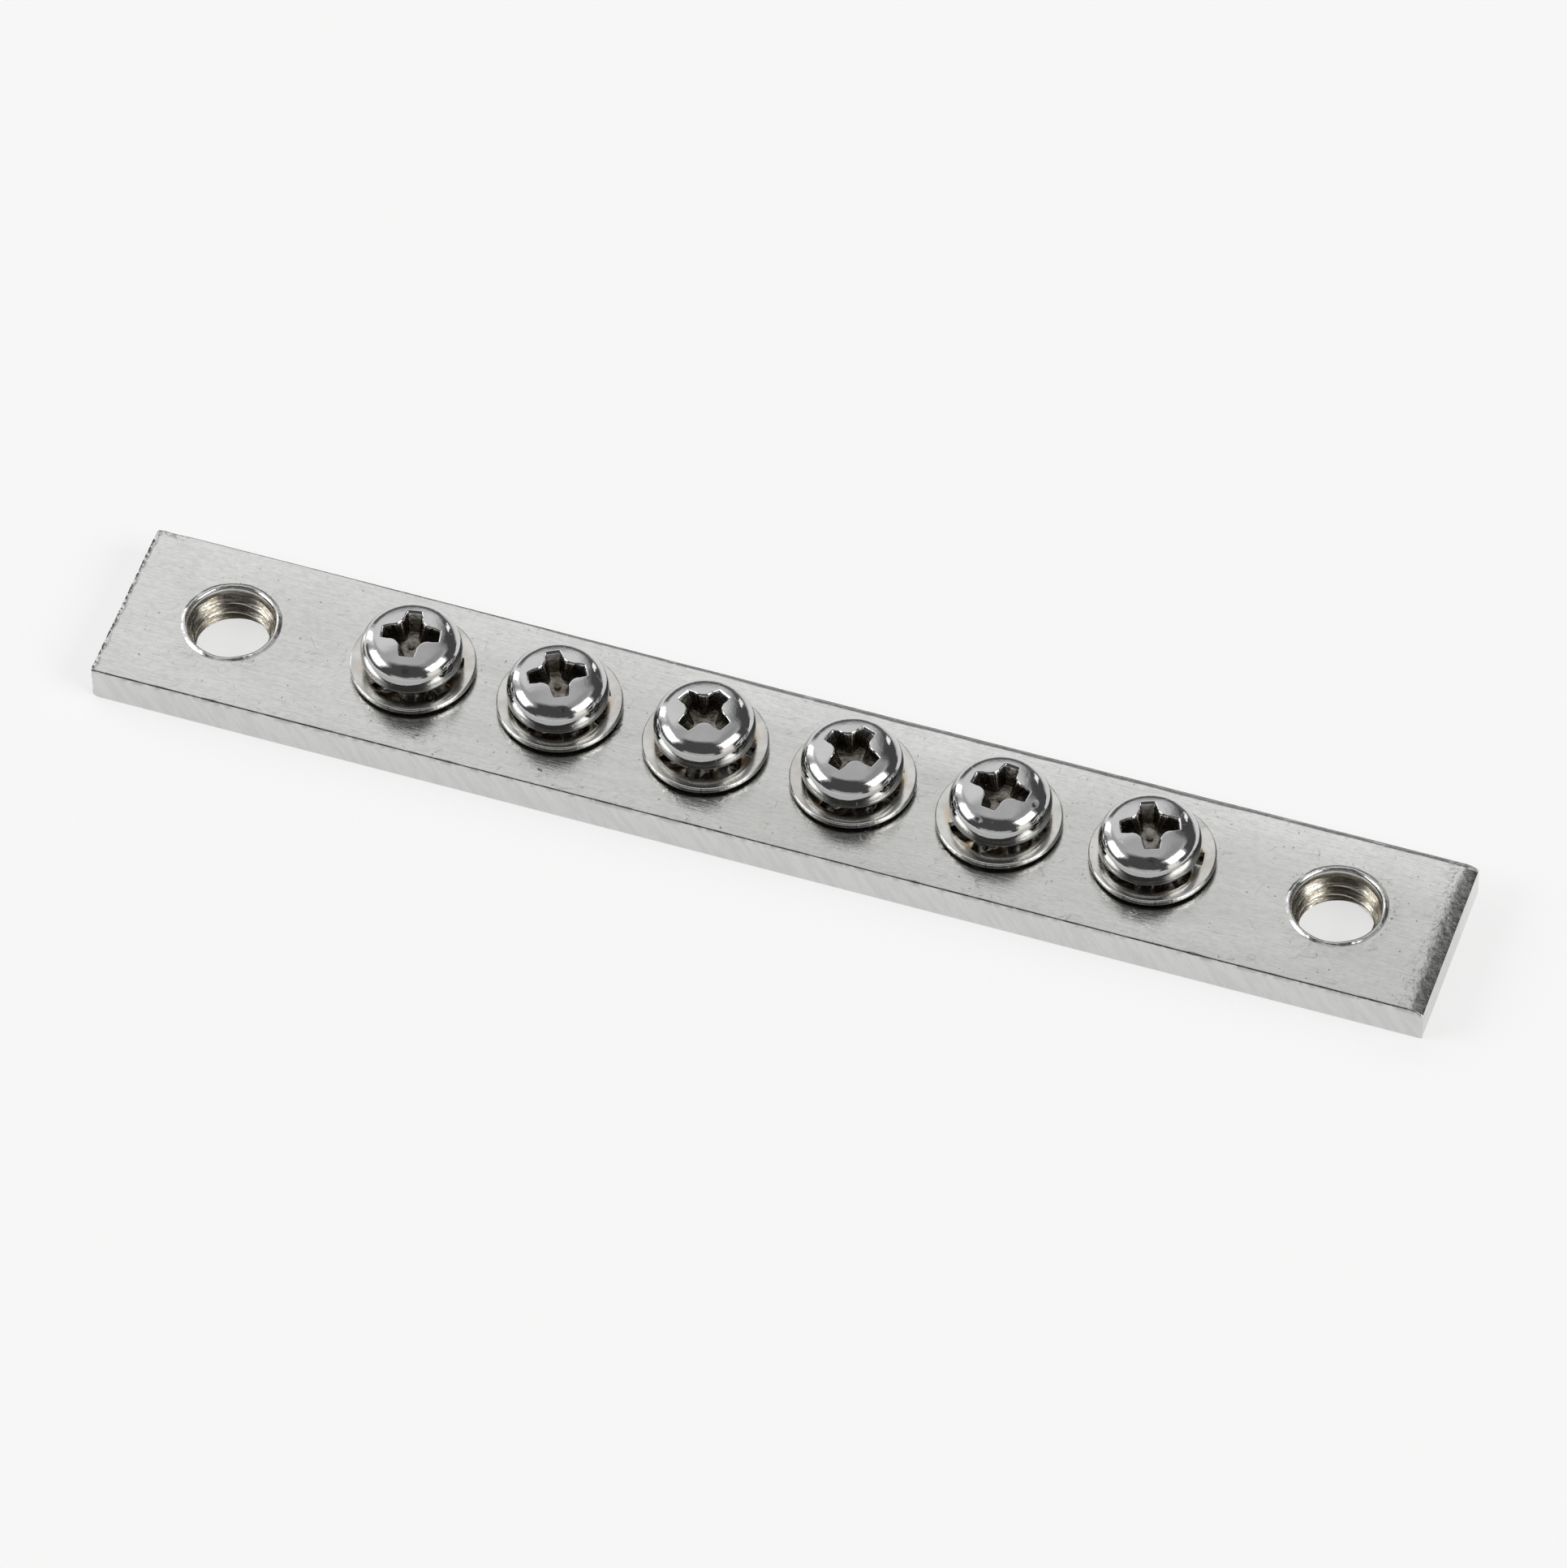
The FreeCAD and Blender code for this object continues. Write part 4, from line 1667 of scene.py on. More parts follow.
def specks_group() -> bpy.types.NodeTree:
    """Tiny pits and grains of uneven shape, scattered unevenly.

    Returns:
        A group that gives their mask.
    """
    tree, graph, given, result = start_group(
        "specks", {"Scale": Kind.NUMBER, "Size": Kind.NUMBER, "Share": Kind.NUMBER}, {"Mask": Kind.NUMBER},
    )
    finer, push, least_size, core = 4.0, (0.35, 0.35, 0.35), 0.3, 0.4
    shove = graph.node("TexNoise", noise_dimensions="3D")
    graph.feed(shove.inputs["Vector"], given["Place"])
    graph.feed(shove.inputs["Scale"], graph.times(given["Scale"], finer))
    bent = graph.vectors("MULTIPLY_ADD", shove.outputs["Color"], push, given["Place"])
    cells = graph.cells(bent.outputs[0], given["Scale"])
    chance, amount, _ = graph.split(cells.outputs["Color"], "SeparateColor")
    size = graph.times(given["Size"], graph.plus(least_size, amount))
    dot = graph.ramp(cells.outputs["Distance"], size, graph.times(size, core))
    chosen = graph.maths("LESS_THAN", chance, given["Share"])
    graph.feed(result.inputs["Mask"], graph.times(dot, chosen))
    return tree


@dataclass(frozen=True)
class Tarnish:
    """One use of the tarnish: the scale of its clouds, and the two tints."""

    scale: float
    clean: tuple[float, ...]
    aged: tuple[float, ...]


def tarnish_group() -> bpy.types.NodeTree:
    """Slow changes of tint over a plated surface.

    Returns:
        A group that gives the tinted colour, and the cloud behind it.
    """
    tree, graph, given, result = start_group(
        "tarnish", {"Scale": Kind.NUMBER, "Clean": Kind.COLOUR, "Aged": Kind.COLOUR},
        {"Colour": Kind.COLOUR, "Cloud": Kind.NUMBER},
    )
    cloud = graph.clouds(given["Place"], Clouds(given["Scale"], 3.0, 0.55))
    graph.feed(result.inputs["Cloud"], cloud)
    share = graph.fade(cloud, Span(0.35, 0.65))
    graph.feed(result.inputs["Colour"], graph.blend(share, given["Clean"], given["Aged"]))
    return tree


@dataclass(frozen=True)
class Effects:
    """The node groups that the finishes share."""

    lines: bpy.types.NodeTree
    strokes: bpy.types.NodeTree
    specks: bpy.types.NodeTree
    tarnish: bpy.types.NodeTree


def start_material(name: str) -> tuple[bpy.types.Material, Graph, bpy.types.Node]:
    """Starts a material with one principled shader.

    Args:
        name: The material's name.

    Returns:
        The material, a graph on it, and the shader.
    """
    material = bpy.data.materials.new(name)
    material.use_nodes = True
    return material, Graph(material.node_tree), material.node_tree.nodes["Principled BSDF"]


@dataclass(frozen=True)
class PlateSurface:
    """What the colour, the roughness and the relief of the plate are worked out from."""

    place: Socket
    x: Socket
    y: Socket
    long_side: Socket
    upper: Socket
    thread: Socket
    torn: Socket
    rubbed: Socket
    rolled_end: Socket
    fine_height: Socket
    fine_deep: Socket
    broad_height: Socket
    cutter_height: Socket
    mottle: Socket
    crumbs: Socket
    turned: Socket
    fleck: Socket
    marks: Socket


@dataclass(frozen=True)
class PlatedFinish:
    """Satin nickel plate over a brushed and sheared bar."""

    effects: Effects
    holes: tuple[tuple[float, float], ...]
    tarnish: Tarnish = Tarnish(0.07, (0.80, 0.80, 0.793, 1.0), (0.72, 0.72, 0.706, 1.0))
    # Painted shade over the middle and front of the top. The scratches also take this colour.
    shade_and_scratch_tone: tuple[float, ...] = (0.58, 0.58, 0.565, 1.0)
    speck: tuple[float, ...] = (0.12, 0.12, 0.11, 1.0)
    grain: tuple[float, ...] = (0.42, 0.42, 0.41, 1.0)
    tapped: tuple[float, ...] = (0.60, 0.575, 0.52, 1.0)
    groove: tuple[float, ...] = (0.24, 0.215, 0.17, 1.0)
    # The torn end's painted highlight: white sparkles. Its painted shadow follows: black specks.
    torn: tuple[float, ...] = (0.86, 0.86, 0.85, 1.0)
    torn_painted_shadow: tuple[float, ...] = (0.05, 0.05, 0.05, 1.0)
    # Painted shade: the dark line along the front and back edges.
    edge: tuple[float, ...] = (0.16, 0.16, 0.155, 1.0)
    # The milled long sides: a darker tone, partly their own finish and partly painted shade for the dim floor
    # that they reflect.
    milled_side_shade: tuple[float, ...] = (0.64, 0.64, 0.635, 1.0)

    fine_lines: Lines = Lines(0.55, 0.06)
    broad_lines: Lines = Lines(2.6, 0.16)
    cutter_lines: Lines = Lines(2.6, 0.4, (0.0, math.radians(-62.0), 0.0))
    strokes: Strokes = Strokes(0.3, 0.17, 0.014, 0.14)
    fine_strokes: Strokes = Strokes(0.95, 0.28, 0.03, 0.3)
    specks: Specks = Specks(1.5, 0.13, 0.16)
    dust: Specks = Specks(3.2, 0.2, 0.1)
    rub_grains: Specks = Specks(4.0, 0.3, 0.5)
    mottle: Clouds = Clouds(2.2, 3.0, 0.65)
    shade_film: Clouds = Clouds(1.0, stretch=(0.06, 0.5, 0.5), span=Span(0.3, 0.7, 0.65, 1.0))
    end_fuzz: Clouds = Clouds(1.1, 4.0, 0.7)
    end_flakes: Clouds = Clouds(3.2, 4.0, 0.72, span=Span(0.5, 0.62))
    end_dents: Clouds = Clouds(1.7, 4.0, 0.6)
    wear: Clouds = Clouds(0.16, span=Span(0.42, 0.6))
    crumbs: Clouds = Clouds(3.4, 3.0, 0.7)
    edge_shade_breaks: Clouds = Clouds(1.0, 3.0, 0.6, (2.2, 0.4, 0.4), Span(0.36, 0.5, 0.35, 1.0))
    stains: Clouds = Clouds(0.9, 3.0, span=Span(0.35, 0.6, 0.4, 1.0))
    tap_rings: Clouds = Clouds(1.0, 3.0, 0.65, (0.8, 0.8, 12.0))
    rub_patches: Clouds = Clouds(0.55, span=Span(0.42, 0.66))
    rub_smears: Clouds = Clouds(1.6, 3.0)
    patches: Clouds = Clouds(0.5, span=Span(0.63, 0.7))
    patch_grain: Clouds = Clouds(4.5)

    long_side_facing: Span = Span(0.85, 0.97)
    upper_facing: Span = Span(0.9, 0.97)
    rolled_facing: Span = Span(0.6, 0.8)
    rub_reach: Span = Span(4.6, 3.6)
    shade_across: Span = Span(5.5, 1.6)
    handled_along: Span = Span(-40.0, -14.0, 0.12, 0.9)
    grain_span: Span = Span(0.84, 1.2)
    rolled_reach: Span = Span(46.4, 47.6)
    cutter_span: Span = Span(0.4, 0.62)
    crumb_span: Span = Span(0.47, 0.53)
    ring_span: Span = Span(0.44, 0.54)

    fuzz_reach: float = 2.4
    grain_shade: float = 0.36
    broad_shade: float = 0.5
    mottle_shade: float = 0.5
    flake_shade: float = 0.55
    cutter_shade: float = 0.2
    fleck_shade: float = 0.7
    mark_shade: float = 0.25
    torn_sparkle_dullness: float = 0.5

    roughness: float = 0.15
    deep_roughness: float = 0.06
    side_roughness: float = 0.08
    torn_roughness: float = 0.1
    thread_roughness: float = 0.07

    line_height: float = 0.008
    broad_share: float = 0.8
    mottle_height: float = 0.006
    cutter_height: float = 0.009
    stroke_depth: float = 0.006
    speck_depth: float = 0.01
    smear_height: float = 0.03
    patch_height: float = 0.03
    ring_height: float = 0.045
    dent_height: float = 0.05
    torn_height: float = 0.11

    def rubbed(self, graph: Graph, place: Socket) -> Socket:
        """A mask of the scuffed rings round the mounting holes.

        Args:
            graph: The material's graph.
            place: The surface's own place, in millimetres.

        Returns:
            The mask.
        """
        total: Value = 0.0
        for x, y in self.holes:
            away = graph.vectors("SUBTRACT", place, (x, y, 0.0)).outputs[0]
            level = graph.vectors("MULTIPLY", away, (1.0, 1.0, 0.0)).outputs[0]
            reach = graph.vectors("LENGTH", level).outputs["Value"]
            total = graph.plus(total, graph.fade(reach, self.rub_reach))
        patches = graph.clouds(place, self.rub_patches)
        return graph.maths("MULTIPLY", total, patches, clamp=True)

    def survey(self, graph: Graph) -> PlateSurface:
        """Works out the masks and patterns of the plate.

        Args:
            graph: The material's graph.

        Returns:
            The masks and patterns.
        """
        effects = self.effects
        place = graph.millimetres()
        x, y, _ = graph.split(place)
        _, facing_y, facing_z = graph.facing()
        long_side = graph.fade(graph.maths("ABSOLUTE", facing_y), self.long_side_facing)
        thread = graph.mask(Mask.THREAD)
        upper = graph.times(graph.fade(facing_z, self.upper_facing), graph.minus(1.0, thread))
        rubbed = graph.times(self.rubbed(graph, place), upper)
        fuzz = graph.times(graph.clouds(place, self.end_fuzz), self.fuzz_reach)
        rolled_end = graph.fade(graph.plus(x, fuzz), self.rolled_reach)
        fine = graph.apply(effects.lines, place, self.fine_lines)
        specks, dust, grains = (
            graph.apply(effects.specks, place, use).outputs[0]
            for use in (self.specks, self.dust, self.rub_grains)
        )
        strokes, fine_strokes = (
            graph.apply(effects.strokes, place, use).outputs[0]
            for use in (self.strokes, self.fine_strokes)
        )
        worn = graph.clouds(place, self.wear)
        fleck = graph.times(graph.either(specks, dust), upper)
        return PlateSurface(
            place=place, x=x, y=y, long_side=long_side, upper=upper, thread=thread,
            torn=graph.times(graph.mask(Mask.SHEARED), graph.minus(1.0, long_side)),
            rubbed=rubbed,
            rolled_end=graph.times(rolled_end, graph.fade(facing_z, self.rolled_facing)),
            fine_height=fine.outputs["Height"],
            fine_deep=fine.outputs["Deep"],
            broad_height=graph.apply(effects.lines, place, self.broad_lines).outputs["Height"],
            cutter_height=graph.apply(effects.lines, place, self.cutter_lines).outputs["Height"],
            mottle=graph.clouds(place, self.mottle),
            crumbs=graph.clouds(place, self.crumbs),
            turned=graph.clouds(place, self.tap_rings),
            fleck=graph.either(fleck, graph.times(grains, rubbed)),
            marks=graph.times(graph.either(strokes, graph.times(fine_strokes, worn)), upper),
        )

    def colour(self, graph: Graph, on: PlateSurface) -> Socket:
        """The plate's colour, laid on from the tarnish up to the stained thread, with painted shade over the
        top, on the long sides and along the edges, and painted sparkle and shadow on the torn end.

        Args:
            graph: The material's graph.
            on: The plate's masks and patterns.

        Returns:
            The colour.
        """
        # Painted shade: the top darkens towards the front and towards the right, broken up by clouds, for the
        # dimmer reflection there.
        across = graph.fade(on.y, self.shade_across)
        along = graph.fade(on.x, self.handled_along)
        shade_film = graph.clouds(on.place, self.shade_film)
        grain = graph.plus(
            on.fine_height, graph.times(on.broad_height, self.broad_shade),
            graph.times(on.mottle, self.mottle_shade),
        )
        grain = graph.times(graph.fade(grain, self.grain_span), on.upper, self.grain_shade)
        flakes = graph.clouds(on.place, self.end_flakes)
        cutter = graph.fade(on.cutter_height, self.cutter_span)
        cutter = graph.times(cutter, on.long_side, self.cutter_shade)
        # The torn end's crumbs mix a painted shadow with a painted white sparkle.
        crumbs = graph.blend(graph.fade(on.crumbs, self.crumb_span), self.torn_painted_shadow, self.torn)
        # Clouds break up the painted shade along the edges.
        edge_shade_breaks = graph.clouds(on.place, self.edge_shade_breaks)
        stain = graph.clouds(on.place, self.stains)
        stained = graph.either(
            graph.times(stain, graph.mask(Mask.GROOVE)), graph.fade(on.turned, self.ring_span),
        )
        colour: Value = graph.apply(self.effects.tarnish, on.place, self.tarnish).outputs["Colour"]
        for share, laid_on in (
            (graph.times(shade_film, graph.times(across, along)), self.shade_and_scratch_tone),
            (grain, self.grain),
            (graph.times(flakes, graph.times(on.rolled_end, self.flake_shade)), self.speck),
            # Milled sides, with painted shade for the dim floor that they reflect.
            (on.long_side, self.milled_side_shade),
            (cutter, self.grain),
            (graph.times(on.fleck, self.fleck_shade), self.speck),
            (graph.times(on.marks, self.mark_shade), self.shade_and_scratch_tone),
            # Painted sparkle and shadow on the torn end.
            (on.torn, crumbs),
            (graph.times(graph.mask(Mask.EDGE), edge_shade_breaks), self.edge),
            (on.thread, self.tapped),
            (graph.times(stained, on.thread), self.groove),
        ):
            colour = graph.blend(share, colour, laid_on)
        return colour

    def relief(self, graph: Graph, on: PlateSurface) -> Value:
        """The plate's height in millimetres.

        Args:
            graph: The material's graph.
            on: The plate's masks and patterns.

        Returns:
            The height.
        """
        brushed = graph.plus(on.fine_height, graph.times(on.broad_height, self.broad_share))
        plain = graph.maths("SUBTRACT", graph.minus(1.0, on.long_side), on.thread, clamp=True)
        patches = graph.clouds(on.place, self.patches)
        height = graph.plus(
            graph.times(brushed, plain, self.line_height),
            graph.times(on.mottle, on.upper, self.mottle_height),
            graph.times(on.cutter_height, on.long_side, self.cutter_height),
        )
        height = graph.minus(
            height, graph.times(on.marks, self.stroke_depth), graph.times(on.fleck, self.speck_depth),
        )
        return graph.plus(
            height,
            graph.times(graph.clouds(on.place, self.rub_smears), on.rubbed, self.smear_height),
            graph.times(patches, on.upper, graph.clouds(on.place, self.patch_grain), self.patch_height),
            graph.times(on.turned, on.thread, self.ring_height),
            graph.times(graph.clouds(on.place, self.end_dents), on.rolled_end, self.dent_height),
            graph.times(on.crumbs, on.torn, self.torn_height),
        )

    def build(self) -> bpy.types.Material:
        """Builds the material.

        Returns:
            The material.
        """
        material, graph, shader = start_material("satin_nickel_plate")
        on = self.survey(graph)
        rough = graph.plus(
            self.roughness,
            graph.times(on.fine_deep, self.deep_roughness),
            graph.times(on.long_side, self.side_roughness),
            graph.times(on.torn, self.torn_roughness),
            graph.times(on.thread, self.thread_roughness),
        )
        graph.feed(shader.inputs["Base Color"], self.colour(graph, on))
        # The torn end is less metallic, so its painted white and black show as sparkle and shadow.
        graph.feed(shader.inputs["Metallic"], graph.minus(1.0, graph.times(on.torn, self.torn_sparkle_dullness)))
        graph.feed(shader.inputs["Roughness"], rough)
        graph.raise_surface(shader, self.relief(graph, on))
        return material


@dataclass(frozen=True)
class PolishedFinish:
    """Bright nickel plate on the turned and rolled screws."""

    effects: Effects
    tarnish: Tarnish = Tarnish(0.5, (0.61, 0.61, 0.615, 1.0), (0.56, 0.56, 0.56, 1.0))
    # Painted shade: the head's lower side is darker, for the dim floor that it reflects.
    side: tuple[float, ...] = (0.42, 0.42, 0.415, 1.0)
    # Dark brown of the recess: oxide, with painted shade that deepens towards its floor.
    recess: tuple[float, ...] = (0.12, 0.1, 0.07, 1.0)
    groove: tuple[float, ...] = (0.40, 0.38, 0.34, 1.0)
    speck: tuple[float, ...] = (0.2, 0.2, 0.2, 1.0)

    side_shade_facing: Span = Span(0.52, 0.34)
    grime_and_shade: Clouds = Clouds(1.6, 3.0, span=Span(0.3, 0.7, 0.6, 1.0))
    specks: Specks = Specks(2.6, 0.14, 0.12)
    speck_shade: float = 0.7
    strokes: Strokes = Strokes(1.1, 0.4, 0.022, 0.18)
    scrapes: Clouds = Clouds(5.0, span=Span(0.4, 0.55))
    ripple: Clouds = Clouds(0.8)
    mottle: Clouds = Clouds(5.0, 3.0)
    recess_grain: Clouds = Clouds(3.0, 3.0)

    roughness: float = 0.085
    recess_roughness: float = 0.16
    ripple_height: float = 0.016
    mottle_height: float = 0.0045
    speck_depth: float = 0.012
    stroke_depth: float = 0.003
    recess_height: float = 0.04

    def build(self) -> bpy.types.Material:
        """Builds the material.

        Returns:
            The material.
        """
        material, graph, shader = start_material("polished_screw_plate")
        place = graph.millimetres()
        recess = graph.mask(Mask.RECESS)
        # Painted shade on the head's lower side, where the surface faces away from above.
        side = graph.fade(graph.facing()[2], self.side_shade_facing)
        grime_and_shade = graph.clouds(place, self.grime_and_shade)
        specks = graph.apply(self.effects.specks, place, self.specks).outputs[0]
        strokes = graph.apply(self.effects.strokes, place, self.strokes).outputs[0]
        scraped = graph.clouds(place, self.scrapes)
        scraped = graph.times(scraped, graph.mask(Mask.SCUFF))
        colour: Value = graph.apply(self.effects.tarnish, place, self.tarnish).outputs["Colour"]
        for share, laid_on in (
            (side, self.side),
            # Recess oxide and painted shade, broken up by clouds.
            (graph.times(recess, grime_and_shade), self.recess),
            (graph.times(graph.mask(Mask.GROOVE), graph.mask(Mask.THREAD)), self.groove),
            (graph.either(graph.times(specks, self.speck_shade), scraped), self.speck),
        ):
            colour = graph.blend(share, colour, laid_on)
        height = graph.plus(
            graph.times(graph.clouds(place, self.ripple), self.ripple_height),
            graph.times(graph.clouds(place, self.mottle), self.mottle_height),
        )
        height = graph.minus(
            height, graph.times(specks, self.speck_depth), graph.times(strokes, self.stroke_depth),
        )
        rough_floor = graph.times(graph.clouds(place, self.recess_grain), recess, self.recess_height)
        rough = graph.plus(self.roughness, graph.times(recess, self.recess_roughness))
        graph.feed(shader.inputs["Base Color"], colour)
        shader.inputs["Metallic"].default_value = 1.0
        graph.feed(shader.inputs["Roughness"], rough)
        graph.raise_surface(shader, graph.plus(height, rough_floor))
        return material


@dataclass(frozen=True)
class WasherFinish:
    """Bright plated spring steel of the stamped washers."""

    effects: Effects
    tarnish: Tarnish = Tarnish(0.6, (0.68, 0.675, 0.66, 1.0), (0.56, 0.55, 0.52, 1.0))
    rim_shade: tuple[float, ...] = (0.34, 0.33, 0.31, 1.0)
    stain: tuple[float, ...] = (0.56, 0.45, 0.3, 1.0)

    stripes: Clouds = Clouds(24.0, 3.0, 0.7)
    stripe_span: Span = Span(0.52, 0.62)
    specks: Specks = Specks(2.4, 0.15, 0.2)
    speck_shade: float = 0.6
    oil: Clouds = Clouds(0.8, span=Span(0.35, 0.65, 0.1, 0.8))
    lines: Lines = Lines(1.2, 0.1, (0.0, 0.0, 0.4))
    swell: Clouds = Clouds(0.9)

    roughness: float = 0.11
    cloud_roughness: float = 0.08
    line_height: float = 0.006
    speck_depth: float = 0.008
    swell_height: float = 0.012
    stripe_height: float = 0.012

    def build(self) -> bpy.types.Material:
        """Builds the material.

        Returns:
            The material.
        """
        material, graph, shader = start_material("bright_spring_steel")
        place = graph.millimetres()
        tarnish = graph.apply(self.effects.tarnish, place, self.tarnish)
        rim = graph.mask(Mask.RIM)
        spoke = graph.joined(graph.mask(Mask.SPOKE_X), graph.mask(Mask.SPOKE_Y))
        stripes = graph.clouds(spoke, self.stripes)
        dark_stripes = graph.times(rim, graph.fade(stripes, self.stripe_span))
        specks = graph.apply(self.effects.specks, place, self.specks).outputs[0]
        oily = graph.clouds(place, self.oil)
        oily = graph.times(graph.mask(Mask.INNER), oily)
        colour = graph.blend(oily, tarnish.outputs["Colour"], self.stain)
        marked = graph.either(dark_stripes, graph.times(specks, self.speck_shade))
        rough = graph.plus(self.roughness, graph.times(tarnish.outputs["Cloud"], self.cloud_roughness))
        lines = graph.apply(self.effects.lines, place, self.lines).outputs["Height"]
        height = graph.minus(graph.times(lines, self.line_height), graph.times(specks, self.speck_depth))
        height = graph.plus(
            height,
            graph.times(graph.clouds(place, self.swell), self.swell_height),
            graph.times(stripes, rim, self.stripe_height),
        )
        graph.feed(shader.inputs["Base Color"], graph.blend(marked, colour, self.rim_shade))
        shader.inputs["Metallic"].default_value = 1.0
        graph.feed(shader.inputs["Roughness"], rough)
        graph.raise_surface(shader, height)
        return material


@dataclass(frozen=True)
class Softbox:
    """A lamp with an even face, told by where it stands and how large it looks."""

    name: str
    azimuth: float
    elevation: float
    width: float
    height: float
    radiance: float
    distance: float = 3.0

    def build(self) -> None:
        """Adds the lamp, facing the object."""
        lamp = bpy.data.lights.new(self.name, "AREA")
        lamp.shape = "RECTANGLE"
        lamp.size = 2.0 * self.distance * math.tan(math.radians(self.width) / 2.0)
        lamp.size_y = 2.0 * self.distance * math.tan(math.radians(self.height) / 2.0)
        lamp.energy = self.radiance * math.pi * lamp.size * lamp.size_y
        towards = direction(self.azimuth, self.elevation)
        holder = bpy.data.objects.new(self.name, lamp)
        holder.location = towards * self.distance
        holder.rotation_euler = towards.to_track_quat("Z", "Y").to_euler()
        bpy.context.scene.collection.objects.link(holder)


@dataclass(frozen=True)
class TentPanel:
    """A soft-edged patch of the tent round the object, in degrees."""

    azimuth: float
    elevation: float
    width: float
    height: float
    softness: float
    colour: tuple[float, float, float]

    def share(self, towards: np.ndarray) -> np.ndarray:
        """How much of the panel is seen in each direction.

        Args:
            towards: Unit vectors, one in each row.

        Returns:
            Shares from 0 to 1.
        """
        middle = direction(self.azimuth, self.elevation)
        across = UP.cross(middle).normalized()
        ahead = towards @ np.array(middle)
        soft = math.tan(math.radians(self.softness))
        share = np.where(ahead > GRAZING, 1.0, 0.0)
        for axis, size in ((across, self.width), (middle.cross(across), self.height)):
            offset = np.abs(towards @ np.array(axis)) / np.maximum(ahead, GRAZING)
            share *= smooth_share((math.tan(math.radians(0.5 * size)) - offset) / soft + 0.5)
        return share


@dataclass
class Studio:
    """The floor, the tent, the lamps and the camera."""

    camera_azimuth: float = 19.625
    camera_elevation: float = 51.367
    camera_roll: float = -1.168
    camera_distance: float = 825.15
    camera_shift: tuple[float, float, float] = (0.732, -1.35, 2.85)
    lens: float = 279.86
    sensor: float = 36.0
    clip_start: float = 0.05
    clip_end: float = 100.0
    floor_size: float = 60.0
    floor_colour: tuple[float, ...] = (0.38, 0.38, 0.38, 1.0)
    floor_roughness: float = 0.9
    floor_glow: float = 0.625
    tent_radius: float = 4.0
    tent_steps: int = 7
    tent_base: float = 0.085
    tent_foot: float = -0.1
    room_colour: tuple[float, ...] = (0.94, 0.94, 0.94, 1.0)
    lamps: tuple[Softbox, ...] = (
        Softbox("left_softbox", -69.0, 30.0, 33.0, 28.0, 3.0),
        Softbox("right_softbox", 80.0, 35.5, 35.0, 27.0, 3.0),
        Softbox("left_strip", -114.0, 15.0, 12.0, 32.0, 1.6),
        Softbox("back_strip", 167.0, 24.0, 7.0, 18.0, 1.4),
    )
    panels: tuple[TentPanel, ...] = (
        TentPanel(-175.0, 81.0, 92.0, 46.0, 20.0, (0.62, 0.62, 0.62)),
        TentPanel(105.0, 62.0, 48.0, 24.0, 14.0, (0.42, 0.42, 0.42)),
        TentPanel(-107.0, 41.0, 102.0, 56.0, 18.0, (0.52, 0.52, 0.52)),
        TentPanel(-158.0, 4.0, 58.0, 44.0, 12.0, (0.15, 0.15, 0.15)),
        TentPanel(-114.0, 15.0, 24.0, 46.0, 9.0, (0.95, 0.95, 0.94)),
        TentPanel(-150.0, 43.0, 49.0, 40.0, 15.0, (0.92, 0.92, 0.918)),
        TentPanel(8.0, -1.0, 60.0, 26.0, 9.0, (0.62, 0.62, 0.62)),
        TentPanel(65.0, 0.0, 25.0, 42.0, 9.0, (1.22, 1.16, 1.05)),
        TentPanel(160.0, -4.0, 38.0, 22.0, 10.0, (0.68, 0.68, 0.66)),
        TentPanel(-69.0, 30.0, 38.0, 33.0, 9.0, (1.2, 1.2, 1.2)),
        TentPanel(80.0, 35.5, 40.0, 32.0, 9.0, (1.2, 1.2, 1.18)),
    )

    def add_camera(self) -> None:
        """Adds the camera at the photograph's viewing angle."""
        back = direction(self.camera_azimuth, self.camera_elevation)
        right = UP.cross(back).normalized()
        upwards = back.cross(right)
        roll = math.radians(self.camera_roll)
        across = right * math.cos(roll) + upwards * math.sin(roll)
        rise = upwards * math.cos(roll) - right * math.sin(roll)
        data = bpy.data.cameras.new("studio_camera")
        data.lens = self.lens
        data.sensor_width = self.sensor
        data.clip_start = self.clip_start
        data.clip_end = self.clip_end
        camera = bpy.data.objects.new("studio_camera", data)
        place = (back * self.camera_distance + Vector(self.camera_shift)) * MM
        camera.matrix_world = Matrix.Translation(place) @ Matrix((across, rise, back)).transposed().to_4x4()
        bpy.context.scene.collection.objects.link(camera)
        bpy.context.scene.camera = camera

    def add_floor(self) -> None:
        """Adds the pale floor, which keeps a light shadow."""
        half = 0.5 * self.floor_size
        mesh = bpy.data.meshes.new("pale_floor")
        corners = [(-half, -half, 0.0), (half, -half, 0.0), (half, half, 0.0), (-half, half, 0.0)]
        mesh.from_pydata(corners, [], [(0, 1, 2, 3)])
        floor = bpy.data.objects.new("pale_floor", mesh)
        bpy.context.scene.collection.objects.link(floor)
        material, graph, shader = start_material("pale_floor")
        shader.inputs["Base Color"].default_value = self.floor_colour
        shader.inputs["Roughness"].default_value = self.floor_roughness
        shader.inputs["Specular IOR Level"].default_value = 0.0
        rays = graph.node("LightPath")
        seen = graph.maths("MAXIMUM", rays.outputs["Is Camera Ray"], rays.outputs["Is Glossy Ray"])
        seen = graph.maths("MAXIMUM", seen, rays.outputs["Is Transmission Ray"])
        shader.inputs["Emission Color"].default_value = (1.0, 1.0, 1.0, 1.0)
        graph.feed(shader.inputs["Emission Strength"], graph.maths("MULTIPLY", seen, self.floor_glow))
        mesh.materials.append(material)

